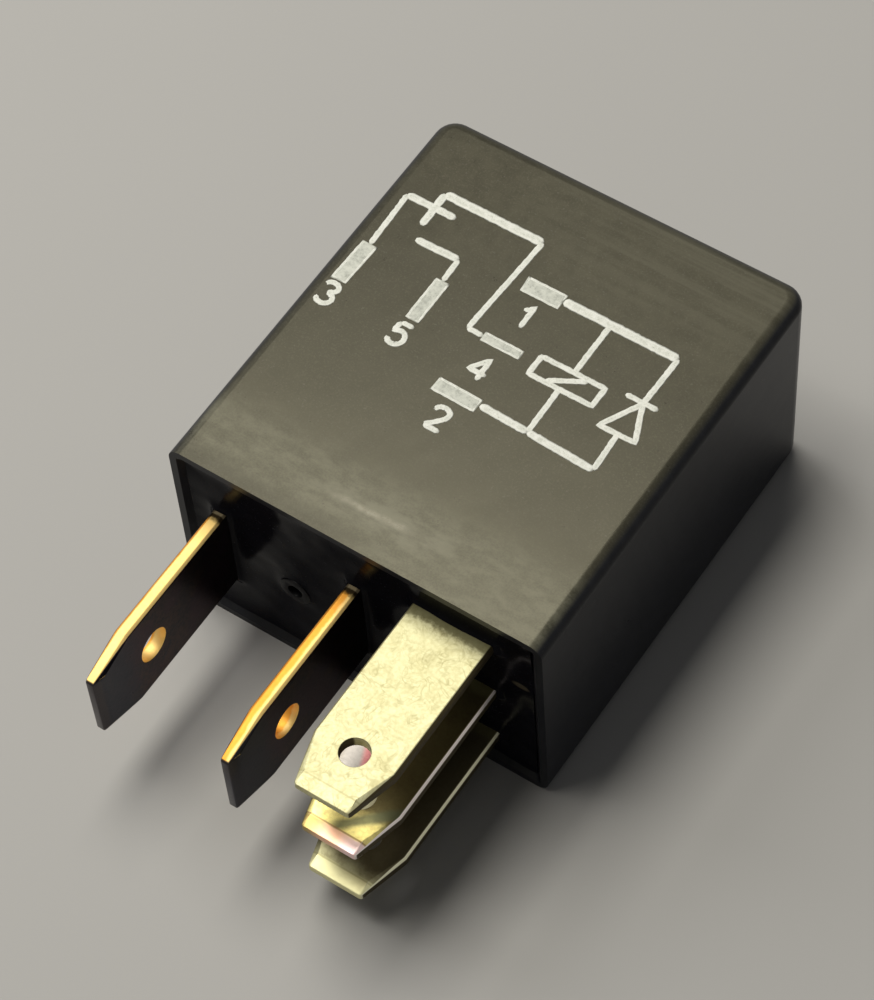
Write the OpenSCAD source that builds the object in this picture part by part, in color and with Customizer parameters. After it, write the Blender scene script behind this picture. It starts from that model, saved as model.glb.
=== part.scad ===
// Plug-in automotive relay of the micro ISO size, with five blades and a changeover contact.
// It lies on its back: +Y runs from the blades to the closed end, +Z out of the printed face,
// and the origin is the centre of the cover's open end, where the relay meets its socket.

/* [Cover] */
// Width of the cover across the printed face
body_w = 22.4; // [21.8:0.1:24.5]
// Depth of the cover, from the back to the printed face
body_d = 14.2; // [13.6:0.1:16.5]
// Length of the cover, from its open end to its closed end
body_h = 25.4; // [24:0.1:29]
// Wall of the cover
wall = 0.8; // [0.6:0.05:0.9]
// Radius of the cover's outer edges
edge_r = 0.8; // [0.4:0.05:1.2]
// Chamfer on the inner edge of the open end
rim_chamfer = 0.35; // [0.1:0.05:0.45]

/* [Blades] */
// Length of a blade, from the cover's open end to its tip
blade_len = 11.2; // [9.5:0.1:13]
// Sheet thickness of the terminals
blade_t = 0.8; // [0.6:0.05:0.85]
// Width of the blades of terminals 3 and 5
wide_blade = 6.3; // [5.8:0.1:6.8]
// Width of the blades of terminals 1, 2 and 4
narrow_blade = 4.8; // [4.4:0.1:5.2]
// Length of a blade's tapered end
taper_len = 2.9; // [1.5:0.1:3.5]
// How far the taper draws each side in
taper_in = 0.8; // [0.4:0.05:1.2]
// Length of the coined bevel at the tip
tip_bevel = 0.75; // [0.3:0.05:1]
// Width of the coined bevel along the sides
side_bevel = 0.12; // [0.05:0.01:0.2]
// Thickness left at the coined edges
edge_t = 0.45; // [0.3:0.05:0.55]
// Radius of the corners at a blade's tip
tip_r = 0.2; // [0.05:0.05:0.5]
// Diameter of the detent hole in a wide blade
wide_hole_d = 2; // [1.2:0.1:2.2]
// Diameter of the detent hole in a narrow blade
narrow_hole_d = 1.6; // [1.2:0.1:2]
// Distance from the open end to the hole in a wide blade
wide_hole_y = 6.7; // [5.5:0.1:7.5]
// Distance from the open end to the hole in a narrow blade
narrow_hole_y = 8.3; // [7:0.1:8.6]

/* [Pin layout] */
// Left-hand blade, terminal 3, from the middle of the cover
pin3_x = -8.5; // [-8.7:0.1:-8.1]
// Middle blade, terminal 5
pin5_x = -0.2; // [-1:0.1:0.3]
// Column of the blades of terminals 1, 4 and 2
column_x = 5.8; // [5.3:0.05:6.1]
// Pitch of the blades in the column
column_pitch = 4.35; // [4:0.05:4.6]

/* [Base and seal] */
// Depth of the seal below the cover's open end
seal_recess = 0.2; // [0:0.05:0.4]
// Thickness of the seal
seal_t = 0.8; // [0.6:0.05:1.2]
// Thickness of the base plate
base_t = 2.4; // [2:0.1:2.8]
// Floor left below the pockets in the base
pocket_floor = 0.8; // [0.5:0.1:1]
// Height of the rails that carry the yoke
rail_h = 1.6; // [1.4:0.1:2.2]
// Width of a rail
rail_w = 2; // [1.5:0.1:2.2]
// Thickness of the cheeks that hold the yoke's foot sideways
cheek_t = 0.8; // [0.5:0.05:1]
// Length of a cheek along the yoke's foot
cheek_len = 6; // [3:0.1:7]
// Outer diameter of the vent tube
vent_d = 1.9; // [1.4:0.05:2.4]
// Bore of the vent tube
vent_bore = 0.9; // [0.5:0.05:1.1]
// Place of the vent across the base
vent_x = -4.3; // [-5.5:0.1:-3]
// Place of the vent in the base's depth
vent_z = -1.1; // [-2:0.1:2]

/* [Magnet] */
// Sheet thickness of the yoke
yoke_t = 1.3; // [1:0.05:1.5]
// Width of the yoke
yoke_w = 10; // [8:0.1:11.5]
// Diameter of the core
core_d = 4.6; // [3.5:0.1:5]
// Diameter of the core's riveted shank
shank_d = 3; // [2.4:0.1:3.3]
// Diameter of the pole head
pole_d = 7.4; // [6:0.1:8]
// Thickness of the pole head
pole_t = 0.9; // [0.6:0.05:1.2]
// Thickness of the bobbin's flanges
flange_t = 0.8; // [0.6:0.05:1.2]
// Wall of the bobbin's tube
tube_wall = 0.4; // [0.3:0.05:0.6]
// How far the winding stays inside the flanges' edge
winding_inset = 0.35; // [0.2:0.05:0.8]
// Width of each ear that keeps the armature in place on the yoke
ear_w = 1.1; // [0.7:0.05:1.4]
// Thickness of the armature
armature_t = 1.2; // [0.9:0.05:1.5]
// Width of the armature
armature_w = 9; // [7:0.1:11]

/* [Contacts] */
// Opening between the moving contact and the make contact
contact_gap = 0.6; // [0.4:0.05:0.8]
// Diameter of the contact heads
contact_d = 2.2; // [1.6:0.1:2.4]
// Thickness of a contact head
contact_h = 0.45; // [0.3:0.05:0.6]
// Diameter of the contact shanks
contact_shank = 1.2; // [0.8:0.1:1.3]
// Thickness of the contact spring
spring_t = 0.15; // [0.1:0.01:0.25]
// Width of the contact spring on the yoke
spring_w = 6.4; // [5:0.1:7.5]
// Width of the contact spring at its contact
spring_tip_w = 3.2; // [2.8:0.1:4]
// How far the spring's loop stands off behind the hinge
loop_out = 0.9; // [0.6:0.05:1.2]
// Length of the spring that lies on the yoke
spring_hold = 7; // [5:0.1:8]
// Width of the window in the spring's loop
window_w = 2.6; // [1.5:0.1:3.2]
// Width of terminal 5's riser
make_riser_w = 5.4; // [4:0.1:5.6]
// Width of terminal 4's riser
break_riser_w = 3; // [2:0.1:3.4]

/* [Diode] */
// Diameter of the diode's body
diode_d = 1.9; // [1.4:0.1:2]
// Length of the diode's body
diode_len = 4.2; // [3:0.1:4.6]
// Diameter of the diode's leads
diode_lead_d = 0.5; // [0.4:0.05:0.6]
// Diameter of the coil's leads
coil_lead_d = 0.25; // [0.15:0.05:0.35]
// Height of the diode above the base plate
diode_up = 2.2; // [1.7:0.1:2.6]

/* [Hidden] */
$fn = 48;

// Clearances
base_fit = 0.05;      // base in the cover
seal_fit = 0.01;      // poured seal against what it fills
slot_fit = 0.08;      // terminals in the base
shank_fit = 0.02;     // shanks in their holes
lay_gap = 0.02;       // between faces that lie on each other
hinge_gap = 0.05;     // armature over the yoke's edge and the pole
ear_fit = 0.15;       // armature between the yoke's ears
touch_gap = 0.03;     // contacts that only just touch
coil_gap = 0.3;       // bobbin to the yoke's leg
live_gap = 0.6;       // between pieces at different potentials
lid_gap = 1.2;        // above terminal 4's arm
eps = 0.01;           // overlap of cutting tools

// Inside of the cover
inner_w = body_w - 2 * wall;
inner_d = body_d - 2 * wall;
inner_top = body_h - wall;

// Heights of the base
base_floor = seal_recess + seal_t;
base_top = base_floor + base_t;
pocket_y = base_floor + pocket_floor;
yoke_y = base_top + rail_h;

// Terminal risers, worked inwards from the cover's right wall
pad_reach = contact_d / 2 + 0.25;
tail_h = 0.3;
break_riser_x = inner_w / 2 - live_gap - base_fit - blade_t / 2;
contact_x = break_riser_x - blade_t / 2 - live_gap - pad_reach;
make_riser_x = contact_x - pad_reach - blade_t;

// Magnet, between the yoke's leg on terminal 3 and terminal 5's riser
hinge_x = pin3_x + blade_t / 2 + lay_gap;
coil_left = hinge_x + yoke_t + coil_gap;
coil_right = make_riser_x - blade_t / 2 - live_gap;
flange_r = (coil_right - coil_left) / 2;
core_x = (coil_left + coil_right) / 2;
winding_r = flange_r - winding_inset;
tube_r = core_d / 2 + shank_fit + tube_wall;

// Heights of the contacts, worked down from the closed end
arm_top = inner_top - lid_gap;
break_face = arm_top - blade_t - lay_gap - contact_h;
arm_reach = contact_x - hinge_x;
open_angle = asin(contact_gap / arm_reach);
spring_lift = hinge_gap + armature_t + lay_gap;
stack_h = spring_lift + spring_t + lay_gap + contact_h;
hinge_y = break_face - touch_gap - contact_d / 2 * sin(open_angle)
    - contact_gap - stack_h * cos(open_angle);
make_face = hinge_y + spring_lift - lay_gap - contact_h - touch_gap;
make_top = make_face - contact_h - lay_gap;

// Bobbin heights
bobbin_y = yoke_y + yoke_t + lay_gap;
bobbin_top = hinge_y - pole_t - lay_gap;
foot_end = 1.8;       // yoke's foot beyond the core

// Armature and spring, measured from the hinge
armature_end = make_riser_x - blade_t / 2 - live_gap - hinge_x;
nose_len = 2.5;       // tapered end of the armature
ear_rise = 0.4;       // ears above the armature
rivet_d = 1.1;
rivet_head_d = 1.9;
rivet_head_h = 0.35;
rivet_z = 1.7;
armature_rivet_x = armature_end * 0.55;
spring_free = 1.6;    // where the loop leaves the yoke, below the hinge
spring_land = 1.6;    // where it meets the armature, beyond the hinge
loop_slope = 1.2;     // length of the loop's lower slope
loop_rise = 1;        // loop's top above the armature
loop_bend_r = 0.5;
spring_tip = 0.1;     // spring beyond its contact
spring_top = hinge_y - spring_free;
spring_low = spring_top - spring_hold;
spring_rivet_y = (spring_top + spring_low) / 2;
spring_x = hinge_x - lay_gap - spring_t / 2;
loop_x = spring_x - loop_out;

// Terminal 3's tongue on the yoke
tongue_inset = 0.8;
tongue_gap = 0.5;     // below the spring

// Diode and coil leads on the posts of terminals 1 and 2
post_x = (make_riser_x + break_riser_x) / 2;
post_w = 1.6;
diode_y = base_top + diode_up;
lead_y = bobbin_y + flange_t + 2 * coil_lead_d;
post_top = lead_y + post_w / 2;
shoulder_h = 1.2;
stub = 0.4;           // length of a lead beyond its post
lead_in = 0.6;        // coil lead's run before its post
lead_hole = 0.2;      // how much wider a hole is than its lead
solder_foot = 0.7;    // how much wider the solder is than its lead

// --- helpers ---

function unit(v) = v / norm(v);
function left_of(v) = [-v.y, v.x];

// Turns a point of the closed armature's frame, measured from the hinge, to its open rest place
function tilted(p) = [
    hinge_x + p.x * cos(open_angle) - p.y * sin(open_angle),
    hinge_y + p.x * sin(open_angle) + p.y * cos(open_angle)
];

// One side of a bend at corner p from direction u to w, offset by side to the left
function bend_side(p, u, w, r, side, steps = 6) =
    let (
        turn = sign(u.x * w.y - u.y * w.x),
        half = acos(u * w) / 2,
        inward = left_of(u) * turn,
        centre = p - u * r * tan(half) + inward * r,
        start = atan2(-inward.y, -inward.x),
        reach = r - turn * side
    )
    [for (k = [0 : steps])
        let (a = start + turn * 2 * half * k / steps)
        centre + reach * [cos(a), sin(a)]];

function strip_side(path, r, side) =
    let (last = len(path) - 1)
    concat(
        [path[0] + side * left_of(unit(path[1] - path[0]))],
        [for (i = [1 : last - 1])
            each bend_side(path[i], unit(path[i] - path[i - 1]), unit(path[i + 1] - path[i]), r, side)],
        [path[last] + side * left_of(unit(path[last] - path[last - 1]))]
    );

function reversed(list) = [for (i = [len(list) - 1 : -1 : 0]) list[i]];

// Sheet strip of thickness t along a path, with bends of centre-line radius r
module strip(path, t, r) {
    polygon(concat(strip_side(path, r, t / 2), reversed(strip_side(path, r, -t / 2))));
}

// Box from one corner to the opposite one
module block(low, high) {
    translate(low)
        cube(high - low);
}

// Extrusion centred on z = 0
module slab(width) {
    linear_extrude(width, center = true)
        children();
}

// Straight round rod between two points
module rod(from, to, d, fn = 24) {
    run = to - from;
    translate(from)
        rotate([0, acos(run.z / norm(run)), atan2(run.y, run.x)])
            cylinder(h = norm(run), d = d, $fn = fn);
}

// Puts children that point along +Z onto the closed armature's frame, pointing away from the core
module on_armature(x, lift, z = 0) {
    at = tilted([x, lift]);
    translate([at.x, at.y, z])
        rotate([0, 0, open_angle])
            rotate([-90, 0, 0])
                children();
}

// Contact head with a chamfered face that looks along +Z from its seat
module contact_head() {
    rim = contact_h * 0.35;
    cylinder(h = contact_h - rim, d = contact_d);
    translate([0, 0, contact_h - rim])
        cylinder(h = rim, d1 = contact_d, d2 = contact_d - 2 * rim);
}

// Rivet with its head on z = 0 and its shank below, cut off flush
module flush_rivet(grip) {
    translate([0, 0, -grip])
        cylinder(h = grip + eps, d = rivet_d);
    cylinder(h = rivet_head_h, d1 = rivet_head_d, d2 = rivet_head_d - 2 * rivet_head_h * 0.8);
}

// Blade that points along -Y in the XY plane, coined all round its end
module blade(width, hole_y, hole_d) {
    half = width / 2;
    function side(in, tip) = let (
        lean = atan2(taper_in, taper_len - tip),
        middle = [half - taper_in - in - tip_r / tan(45 + lean / 2), -blade_len + tip + tip_r]
    ) concat(
        [[half - in, base_floor], [half - in, -blade_len + taper_len]],
        [for (i = [0 : 4]) let (a = -lean - (90 - lean) * i / 4) middle + tip_r * [cos(a), sin(a)]]
    );
    function outline(in, tip) = concat(
        side(in, tip),
        [for (p = reversed(side(in, tip))) [-p.x, p.y]]
    );
    difference() {
        hull() {
            slab(blade_t)
                polygon(outline(side_bevel, tip_bevel));
            slab(edge_t)
                polygon(outline(0, 0));
        }
        translate([0, -hole_y, 0])
            cylinder(h = blade_t + 2 * eps, d = hole_d, center = true);
    }
}

// --- housing ---

// Round post with a domed top, for one upright edge of the cover
module edge_post() {
    rotate([-90, 0, 0])
        rotate_extrude($fn = 32)
            polygon(concat(
                [[0, 0], [edge_r, 0]],
                [for (a = [0 : 90 / 8 : 90]) [edge_r * cos(a), body_h - edge_r + edge_r * sin(a)]]
            ));
}

module cover_outside() {
    x = body_w / 2 - edge_r;
    z = body_d / 2 - edge_r;
    hull()
        for (sx = [-1, 1], sz = [-1, 1])
            translate([sx * x, 0, sz * z])
                edge_post();
}

// Hollow of the cover with its chamfered mouth, drawn in by fit on every side
module cavity(fit) {
    half = [inner_w / 2 - fit, inner_d / 2 - fit];
    block([-half.x, -1, -half.y], [half.x, inner_top - fit, half.y]);
    hull() {
        block([-half.x, rim_chamfer, -half.y], [half.x, rim_chamfer + eps, half.y]);
        block([-half.x - rim_chamfer - eps, -eps, -half.y - rim_chamfer - eps],
              [half.x + rim_chamfer + eps, 0, half.y + rim_chamfer + eps]);
    }
}

module cover() {
    color("#23241f")
        difference() {
            cover_outside();
            cavity(0);
        }
}

// Sections of the five blades where they pass the seal and the base
module blade_sections(fit, low, high) {
    for (x = [pin3_x, pin5_x])
        block([x - blade_t / 2 - fit, low, -wide_blade / 2 - fit],
              [x + blade_t / 2 + fit, high, wide_blade / 2 + fit]);
    for (z = [-1, 0, 1] * column_pitch)
        block([column_x - narrow_blade / 2 - fit, low, z - blade_t / 2 - fit],
              [column_x + narrow_blade / 2 + fit, high, z + blade_t / 2 + fit]);
}

module vent(d, low, high) {
    translate([vent_x, low, vent_z])
        rotate([-90, 0, 0])
            cylinder(h = high - low, d = d, $fn = 32);
}

module seal() {
    color("#0c0c10")
        difference() {
            intersection() {
                cavity(seal_fit);
                block([-body_w, seal_recess, -body_d], [body_w, base_floor - seal_fit, body_d]);
            }
            blade_sections(seal_fit, -1, base_top);
            vent(vent_d + 2 * seal_fit, -1, base_top);
        }
}

module base() {
    edge = [inner_w / 2 - base_fit, inner_d / 2 - base_fit];
    cheek_z = yoke_w / 2 + slot_fit;
    right = break_riser_x + blade_t / 2 + slot_fit;
    color("#2e2f33")
        difference() {
            union() {
                block([-edge.x, base_floor, -edge.y], [edge.x, base_top, edge.y]);
                for (side = [0, 1])
                    mirror([0, 0, side]) {
                        block([hinge_x, base_top - eps, yoke_w / 2 - rail_w],
                              [core_x + flange_r, yoke_y - lay_gap, cheek_z]);
                        block([core_x - cheek_len / 2, base_top - eps, cheek_z],
                              [core_x + cheek_len / 2, yoke_y + yoke_t, min(cheek_z + cheek_t, edge.y)]);
                    }
                vent(vent_d, seal_recess, base_top);
            }
            blade_sections(slot_fit, 0, yoke_y);
            // relief under the bend of terminal 5
            block([pin5_x, base_top - blade_t / 2 - slot_fit, -wide_blade / 2 - slot_fit],
                  [pin5_x + blade_t + slot_fit, base_top + 1, wide_blade / 2 + slot_fit]);
            // pockets that take the shoulders of the narrow terminals
            block([column_x - narrow_blade / 2 - slot_fit, pocket_y, -blade_t / 2 - slot_fit],
                  [right, base_top + 1, blade_t / 2 + slot_fit]);
            block([break_riser_x - blade_t / 2 - slot_fit, pocket_y, -blade_t / 2 - slot_fit],
                  [right, base_top + 1, break_riser_w - blade_t / 2 + slot_fit]);
            vent(vent_bore, 0, base_top + 1);
        }
}

// --- terminals ---

// Terminals 1 and 2: a blade, and a post that takes the diode's and the coil's leads
module coil_terminal(side) {
    z = side * column_pitch;
    left = column_x - narrow_blade / 2;
    right = max(column_x + narrow_blade / 2, post_x + post_w / 2);
    color("#c9bd84")
        difference() {
            union() {
                translate([column_x, 0, z])
                    blade(narrow_blade, narrow_hole_y, narrow_hole_d);
                block([left, base_floor - eps, z - blade_t / 2], [column_x + narrow_blade / 2, base_top, z + blade_t / 2]);
                block([post_x - post_w / 2, base_top - eps, z - blade_t / 2],
                      [post_x + post_w / 2, post_top, z + blade_t / 2]);
                block([left, base_top + lay_gap, z - blade_t / 2],
                      [right, base_top + lay_gap + shoulder_h, z + blade_t / 2]);
            }
            translate([post_x, diode_y, z])
                cylinder(h = blade_t + 2 * eps, d = diode_lead_d + lead_hole, center = true, $fn = 24);
            translate([post_x, lead_y, z])
                cylinder(h = blade_t + 2 * eps, d = coil_lead_d + lead_hole, center = true, $fn = 24);
        }
}

module terminal_1() {
    coil_terminal(1);
}

module terminal_2() {
    coil_terminal(-1);
}

// Wide blade turned across the relay, at its own place along x
module wide_terminal(x) {
    translate([x, 0, 0])
        rotate([0, 90, 0])
            blade(wide_blade, wide_hole_y, wide_hole_d);
}

// Terminal 3: the common, welded flat against the yoke's leg
module terminal_3() {
    color("#c08a2e") {
        wide_terminal(pin3_x);
        translate([pin3_x, 0, 0])
            rotate([0, 90, 0])
                slab(blade_t)
                    polygon([
                        [-wide_blade / 2, base_floor - eps],
                        [wide_blade / 2, base_floor - eps],
                        [wide_blade / 2, yoke_y],
                        [wide_blade / 2 - tongue_inset, yoke_y + tongue_inset],
                        [wide_blade / 2 - tongue_inset, spring_low - tongue_gap],
                        [-wide_blade / 2 + tongue_inset, spring_low - tongue_gap],
                        [-wide_blade / 2 + tongue_inset, yoke_y + tongue_inset],
                        [-wide_blade / 2, yoke_y]
                    ]);
    }
}

// Terminal 5: folded over the base and up beside the coil to the make contact's flange
module terminal_5() {
    run_y = base_top + lay_gap + blade_t / 2;
    flange_y = make_top - blade_t / 2;
    neck_h = 3;
    color("#c08a2e")
        difference() {
            union() {
                wide_terminal(pin5_x);
                intersection() {
                    slab(wide_blade)
                        strip([
                            [pin5_x, base_floor - eps],
                            [pin5_x, run_y],
                            [make_riser_x, run_y],
                            [make_riser_x, flange_y],
                            [contact_x + pad_reach, flange_y]
                        ], blade_t, blade_t);
                    union() {
                        block([pin5_x - blade_t, 0, -wide_blade / 2],
                              [pin5_x + blade_t, base_top + lay_gap + blade_t, wide_blade / 2]);
                        block([pin5_x, base_top, -make_riser_w / 2],
                              [make_riser_x + blade_t, make_top - neck_h, make_riser_w / 2]);
                        block([pin5_x, base_top, -spring_tip_w / 2],
                              [body_w / 2, body_h, spring_tip_w / 2]);
                    }
                }
            }
            translate([contact_x, flange_y, 0])
                rotate([90, 0, 0])
                    cylinder(h = blade_t + 2 * eps, d = contact_shank + 2 * shank_fit, center = true);
        }
}

// Terminal 4: a shoulder in the base's pocket, a riser folded up along the right wall and an arm over the contact
module terminal_4() {
    arm_y = arm_top - blade_t / 2;
    low_z = -blade_t / 2;
    jog_h = 1.5;
    jog_y = make_top - jog_h;
    color("#c9bd84")
        difference() {
            union() {
                translate([column_x, 0, 0])
                    blade(narrow_blade, narrow_hole_y, narrow_hole_d);
                block([column_x - narrow_blade / 2, base_floor - eps, -blade_t / 2],
                      [column_x + narrow_blade / 2, pocket_y + lay_gap + shoulder_h, blade_t / 2]);
                block([column_x, pocket_y + lay_gap, -blade_t / 2],
                      [break_riser_x + blade_t / 2, pocket_y + lay_gap + shoulder_h, blade_t / 2]);
                intersection() {
                    slab(body_d)
                        strip([
                            [break_riser_x, pocket_y + lay_gap],
                            [break_riser_x, arm_y],
                            [contact_x - pad_reach, arm_y]
                        ], blade_t, blade_t);
                    rotate([0, 90, 0])
                        slab(2 * body_w)
                            polygon([
                                [-low_z, 0],
                                [-low_z, jog_y],
                                [spring_tip_w / 2, jog_y + jog_h],
                                [spring_tip_w / 2, body_h],
                                [-spring_tip_w / 2, body_h],
                                [-spring_tip_w / 2, jog_y + jog_h],
                                [-low_z - break_riser_w, jog_y],
                                [-low_z - break_riser_w, 0]
                            ]);
                }
            }
            translate([contact_x, arm_y, 0])
                rotate([90, 0, 0])
                    cylinder(h = blade_t + 2 * eps, d = contact_shank + 2 * shank_fit, center = true);
        }
}

// --- magnet ---

module yoke() {
    leg_x = hinge_x + yoke_t / 2;
    foot_y = yoke_y + yoke_t / 2;
    color("#8d9096")
        difference() {
            union() {
                slab(yoke_w)
                    strip([
                        [leg_x, hinge_y],
                        [leg_x, foot_y],
                        [core_x + core_d / 2 + foot_end, foot_y]
                    ], yoke_t, yoke_t / 2 + coil_gap);
                for (side = [0, 1])
                    mirror([0, 0, side])
                        block([hinge_x, hinge_y - eps, yoke_w / 2 - ear_w],
                              [hinge_x + yoke_t, hinge_y + hinge_gap + armature_t + ear_rise, yoke_w / 2]);
            }
            translate([core_x, foot_y, 0])
                rotate([90, 0, 0])
                    cylinder(h = yoke_t + 2 * eps, d = shank_d + 2 * shank_fit, center = true);
            for (z = [-rivet_z, rivet_z])
                translate([leg_x, spring_rivet_y, z])
                    rotate([0, 90, 0])
                        cylinder(h = yoke_t + 2 * eps, d = rivet_d + 2 * shank_fit, center = true, $fn = 32);
        }
}

module core() {
    color("#9a9ca0")
        translate([core_x, 0, 0])
            rotate([-90, 0, 0])
                rotate_extrude()
                    polygon([
                        [0, yoke_y],
                        [shank_d / 2, yoke_y],
                        [shank_d / 2, bobbin_y],
                        [core_d / 2, bobbin_y],
                        [core_d / 2, hinge_y - pole_t],
                        [pole_d / 2, hinge_y - pole_t],
                        [pole_d / 2, hinge_y - 0.2],
                        [pole_d / 2 - 0.2, hinge_y],
                        [0, hinge_y]
                    ]);
}

module bobbin() {
    bore_r = core_d / 2 + shank_fit;
    color("#d8d2c0")
        translate([core_x, 0, 0])
            rotate([-90, 0, 0])
                rotate_extrude()
                    polygon([
                        [bore_r, bobbin_y + lay_gap],
                        [flange_r, bobbin_y + lay_gap],
                        [flange_r, bobbin_y + flange_t],
                        [tube_r, bobbin_y + flange_t],
                        [tube_r, bobbin_top - flange_t],
                        [flange_r, bobbin_top - flange_t],
                        [flange_r, bobbin_top],
                        [bore_r, bobbin_top]
                    ]);
}

// The wound wire as one body, slightly crowned where its layers end
module winding() {
    low = bobbin_y + flange_t + lay_gap;
    high = bobbin_top - flange_t - lay_gap;
    step = (winding_r - tube_r) * 0.12;
    color("#8a3b1c")
        translate([core_x, 0, 0])
            rotate([-90, 0, 0])
                rotate_extrude()
                    polygon([
                        [tube_r + lay_gap, low],
                        [winding_r - step, low],
                        [winding_r, low + 2 * step],
                        [winding_r, high - 2 * step],
                        [winding_r - step, high],
                        [tube_r + lay_gap, high]
                    ]);
}

// Two wires from the winding's lower end, through the posts of terminals 1 and 2
module coil_leads() {
    away = 40;
    from_r = winding_r + coil_lead_d;
    color("#8a3b1c")
        for (side = [-1, 1]) {
            corner = [post_x, lead_y, side * (column_pitch - blade_t / 2 - lead_in)];
            rod([core_x + from_r * cos(away), lead_y, side * from_r * sin(away)], corner, coil_lead_d);
            translate(corner)
                sphere(d = coil_lead_d, $fn = 24);
            rod(corner, [post_x, lead_y, side * (column_pitch + blade_t / 2 + stub)], coil_lead_d);
        }
}

// --- moving contact set ---

module armature() {
    mid = hinge_gap + armature_t / 2;
    heel = [yoke_t + ear_fit, yoke_w / 2 - ear_w - ear_fit];
    nose = [armature_end, spring_tip_w / 2 + 0.6];
    color("#8d9096")
        difference() {
            translate([hinge_x, hinge_y, 0])
                rotate([0, 0, open_angle])
                    translate([0, mid, 0])
                        rotate([90, 0, 0])
                            linear_extrude(armature_t, center = true)
                                polygon([
                                    [0, -heel.y],
                                    [heel.x, -heel.y],
                                    [heel.x, -armature_w / 2],
                                    [nose.x - nose_len, -armature_w / 2],
                                    [nose.x, -nose.y],
                                    [nose.x, nose.y],
                                    [nose.x - nose_len, armature_w / 2],
                                    [heel.x, armature_w / 2],
                                    [heel.x, heel.y],
                                    [0, heel.y]
                                ]);
            for (z = [-rivet_z, rivet_z])
                on_armature(armature_rivet_x, mid, z)
                    cylinder(h = armature_t + 2 * eps, d = rivet_d + 2 * shank_fit, center = true, $fn = 32);
        }
}

module armature_rivets() {
    color("#b9bcc2")
        for (z = [-rivet_z, rivet_z])
            on_armature(armature_rivet_x, spring_lift + spring_t + lay_gap, z)
                flush_rivet(armature_t + spring_t + 2 * lay_gap);
}

module contact_spring() {
    mid = spring_lift + spring_t / 2;
    tip = arm_reach + contact_d / 2 + spring_tip;
    taper_x = hinge_x + armature_end;
    color("#c9803f")
        difference() {
            intersection() {
                slab(spring_w)
                    strip([
                        [spring_x, spring_low],
                        [spring_x, spring_top],
                        [loop_x, spring_top + loop_slope],
                        [loop_x, hinge_y + spring_lift + loop_rise],
                        tilted([spring_land, mid]),
                        tilted([tip, mid])
                    ], spring_t, loop_bend_r);
                rotate([90, 0, 0])
                    slab(4 * body_h)
                        polygon([
                            [-body_w, -spring_w / 2],
                            [taper_x - nose_len, -spring_w / 2],
                            [taper_x, -spring_tip_w / 2],
                            [body_w, -spring_tip_w / 2],
                            [body_w, spring_tip_w / 2],
                            [taper_x, spring_tip_w / 2],
                            [taper_x - nose_len, spring_w / 2],
                            [-body_w, spring_w / 2]
                        ]);
            }
            for (z = [-rivet_z, rivet_z]) {
                on_armature(armature_rivet_x, mid, z)
                    cylinder(h = 4 * spring_t, d = rivet_d + 2 * shank_fit, center = true, $fn = 32);
                translate([spring_x, spring_rivet_y, z])
                    rotate([0, 90, 0])
                        cylinder(h = 4 * spring_t, d = rivet_d + 2 * shank_fit, center = true, $fn = 32);
            }
            on_armature(arm_reach, mid)
                cylinder(h = 4 * spring_t, d = contact_shank + 2 * shank_fit, center = true, $fn = 32);
            // window that softens the loop
            block([-body_w, spring_top + loop_slope, -window_w / 2],
                  [hinge_x - spring_t, hinge_y + spring_lift, window_w / 2]);
        }
}

module spring_rivets() {
    color("#b9bcc2")
        for (z = [-rivet_z, rivet_z])
            translate([spring_x - spring_t / 2 - lay_gap, spring_rivet_y, z])
                rotate([0, -90, 0])
                    flush_rivet(yoke_t + spring_t + 2 * lay_gap);
}

module moving_contact() {
    color("#d9d9d2") {
        on_armature(arm_reach, spring_lift + spring_t + lay_gap)
            contact_head();
        on_armature(arm_reach, spring_lift - lay_gap - eps)
            cylinder(h = spring_t + 2 * lay_gap + 2 * eps, d = contact_shank);
        on_armature(arm_reach, spring_lift - lay_gap)
            mirror([0, 0, 1])
                contact_head();
    }
}

// Fixed contact riveted in a flange: its face looks along +Z from z = 0, and its tail is staked behind the sheet
module fixed_contact() {
    behind = blade_t + lay_gap + tail_h;
    translate([0, 0, lay_gap])
        contact_head();
    translate([0, 0, -behind])
        cylinder(h = behind + lay_gap + eps, d = contact_shank);
    translate([0, 0, -behind])
        cylinder(h = tail_h, d = contact_shank + 0.6);
}

module make_contact() {
    color("#d9d9d2")
        translate([contact_x, make_top, 0])
            rotate([-90, 0, 0])
                fixed_contact();
}

module break_contact() {
    color("#d9d9d2")
        translate([contact_x, arm_top - blade_t, 0])
            rotate([90, 0, 0])
                fixed_contact();
}

// --- diode ---

module diode_body() {
    color("#1c1c1e")
        translate([post_x, diode_y, 0])
            cylinder(h = diode_len, d = diode_d, center = true);
}

module diode_leads() {
    reach = column_pitch + blade_t / 2 + stub;
    color("#c4c6c9")
        for (side = [-1, 1])
            rod([post_x, diode_y, side * (diode_len / 2 + lay_gap)], [post_x, diode_y, side * reach], diode_lead_d);
}

// Cone of solder round a lead, on the outer face of its post
module solder_cone(y, side, lead_d) {
    translate([post_x, y, side * (column_pitch + blade_t / 2 + lay_gap)])
        mirror([0, 0, side < 0 ? 1 : 0])
            difference() {
                cylinder(h = stub * 0.8, d1 = lead_d + solder_foot, d2 = lead_d + solder_foot / 4, $fn = 32);
                translate([0, 0, -eps])
                    cylinder(h = stub, d = lead_d + 2 * shank_fit, $fn = 24);
            }
}

module solder_joints() {
    color("#b4b7bb")
        for (side = [-1, 1]) {
            solder_cone(diode_y, side, diode_lead_d);
            solder_cone(lead_y, side, coil_lead_d);
        }
}

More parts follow.
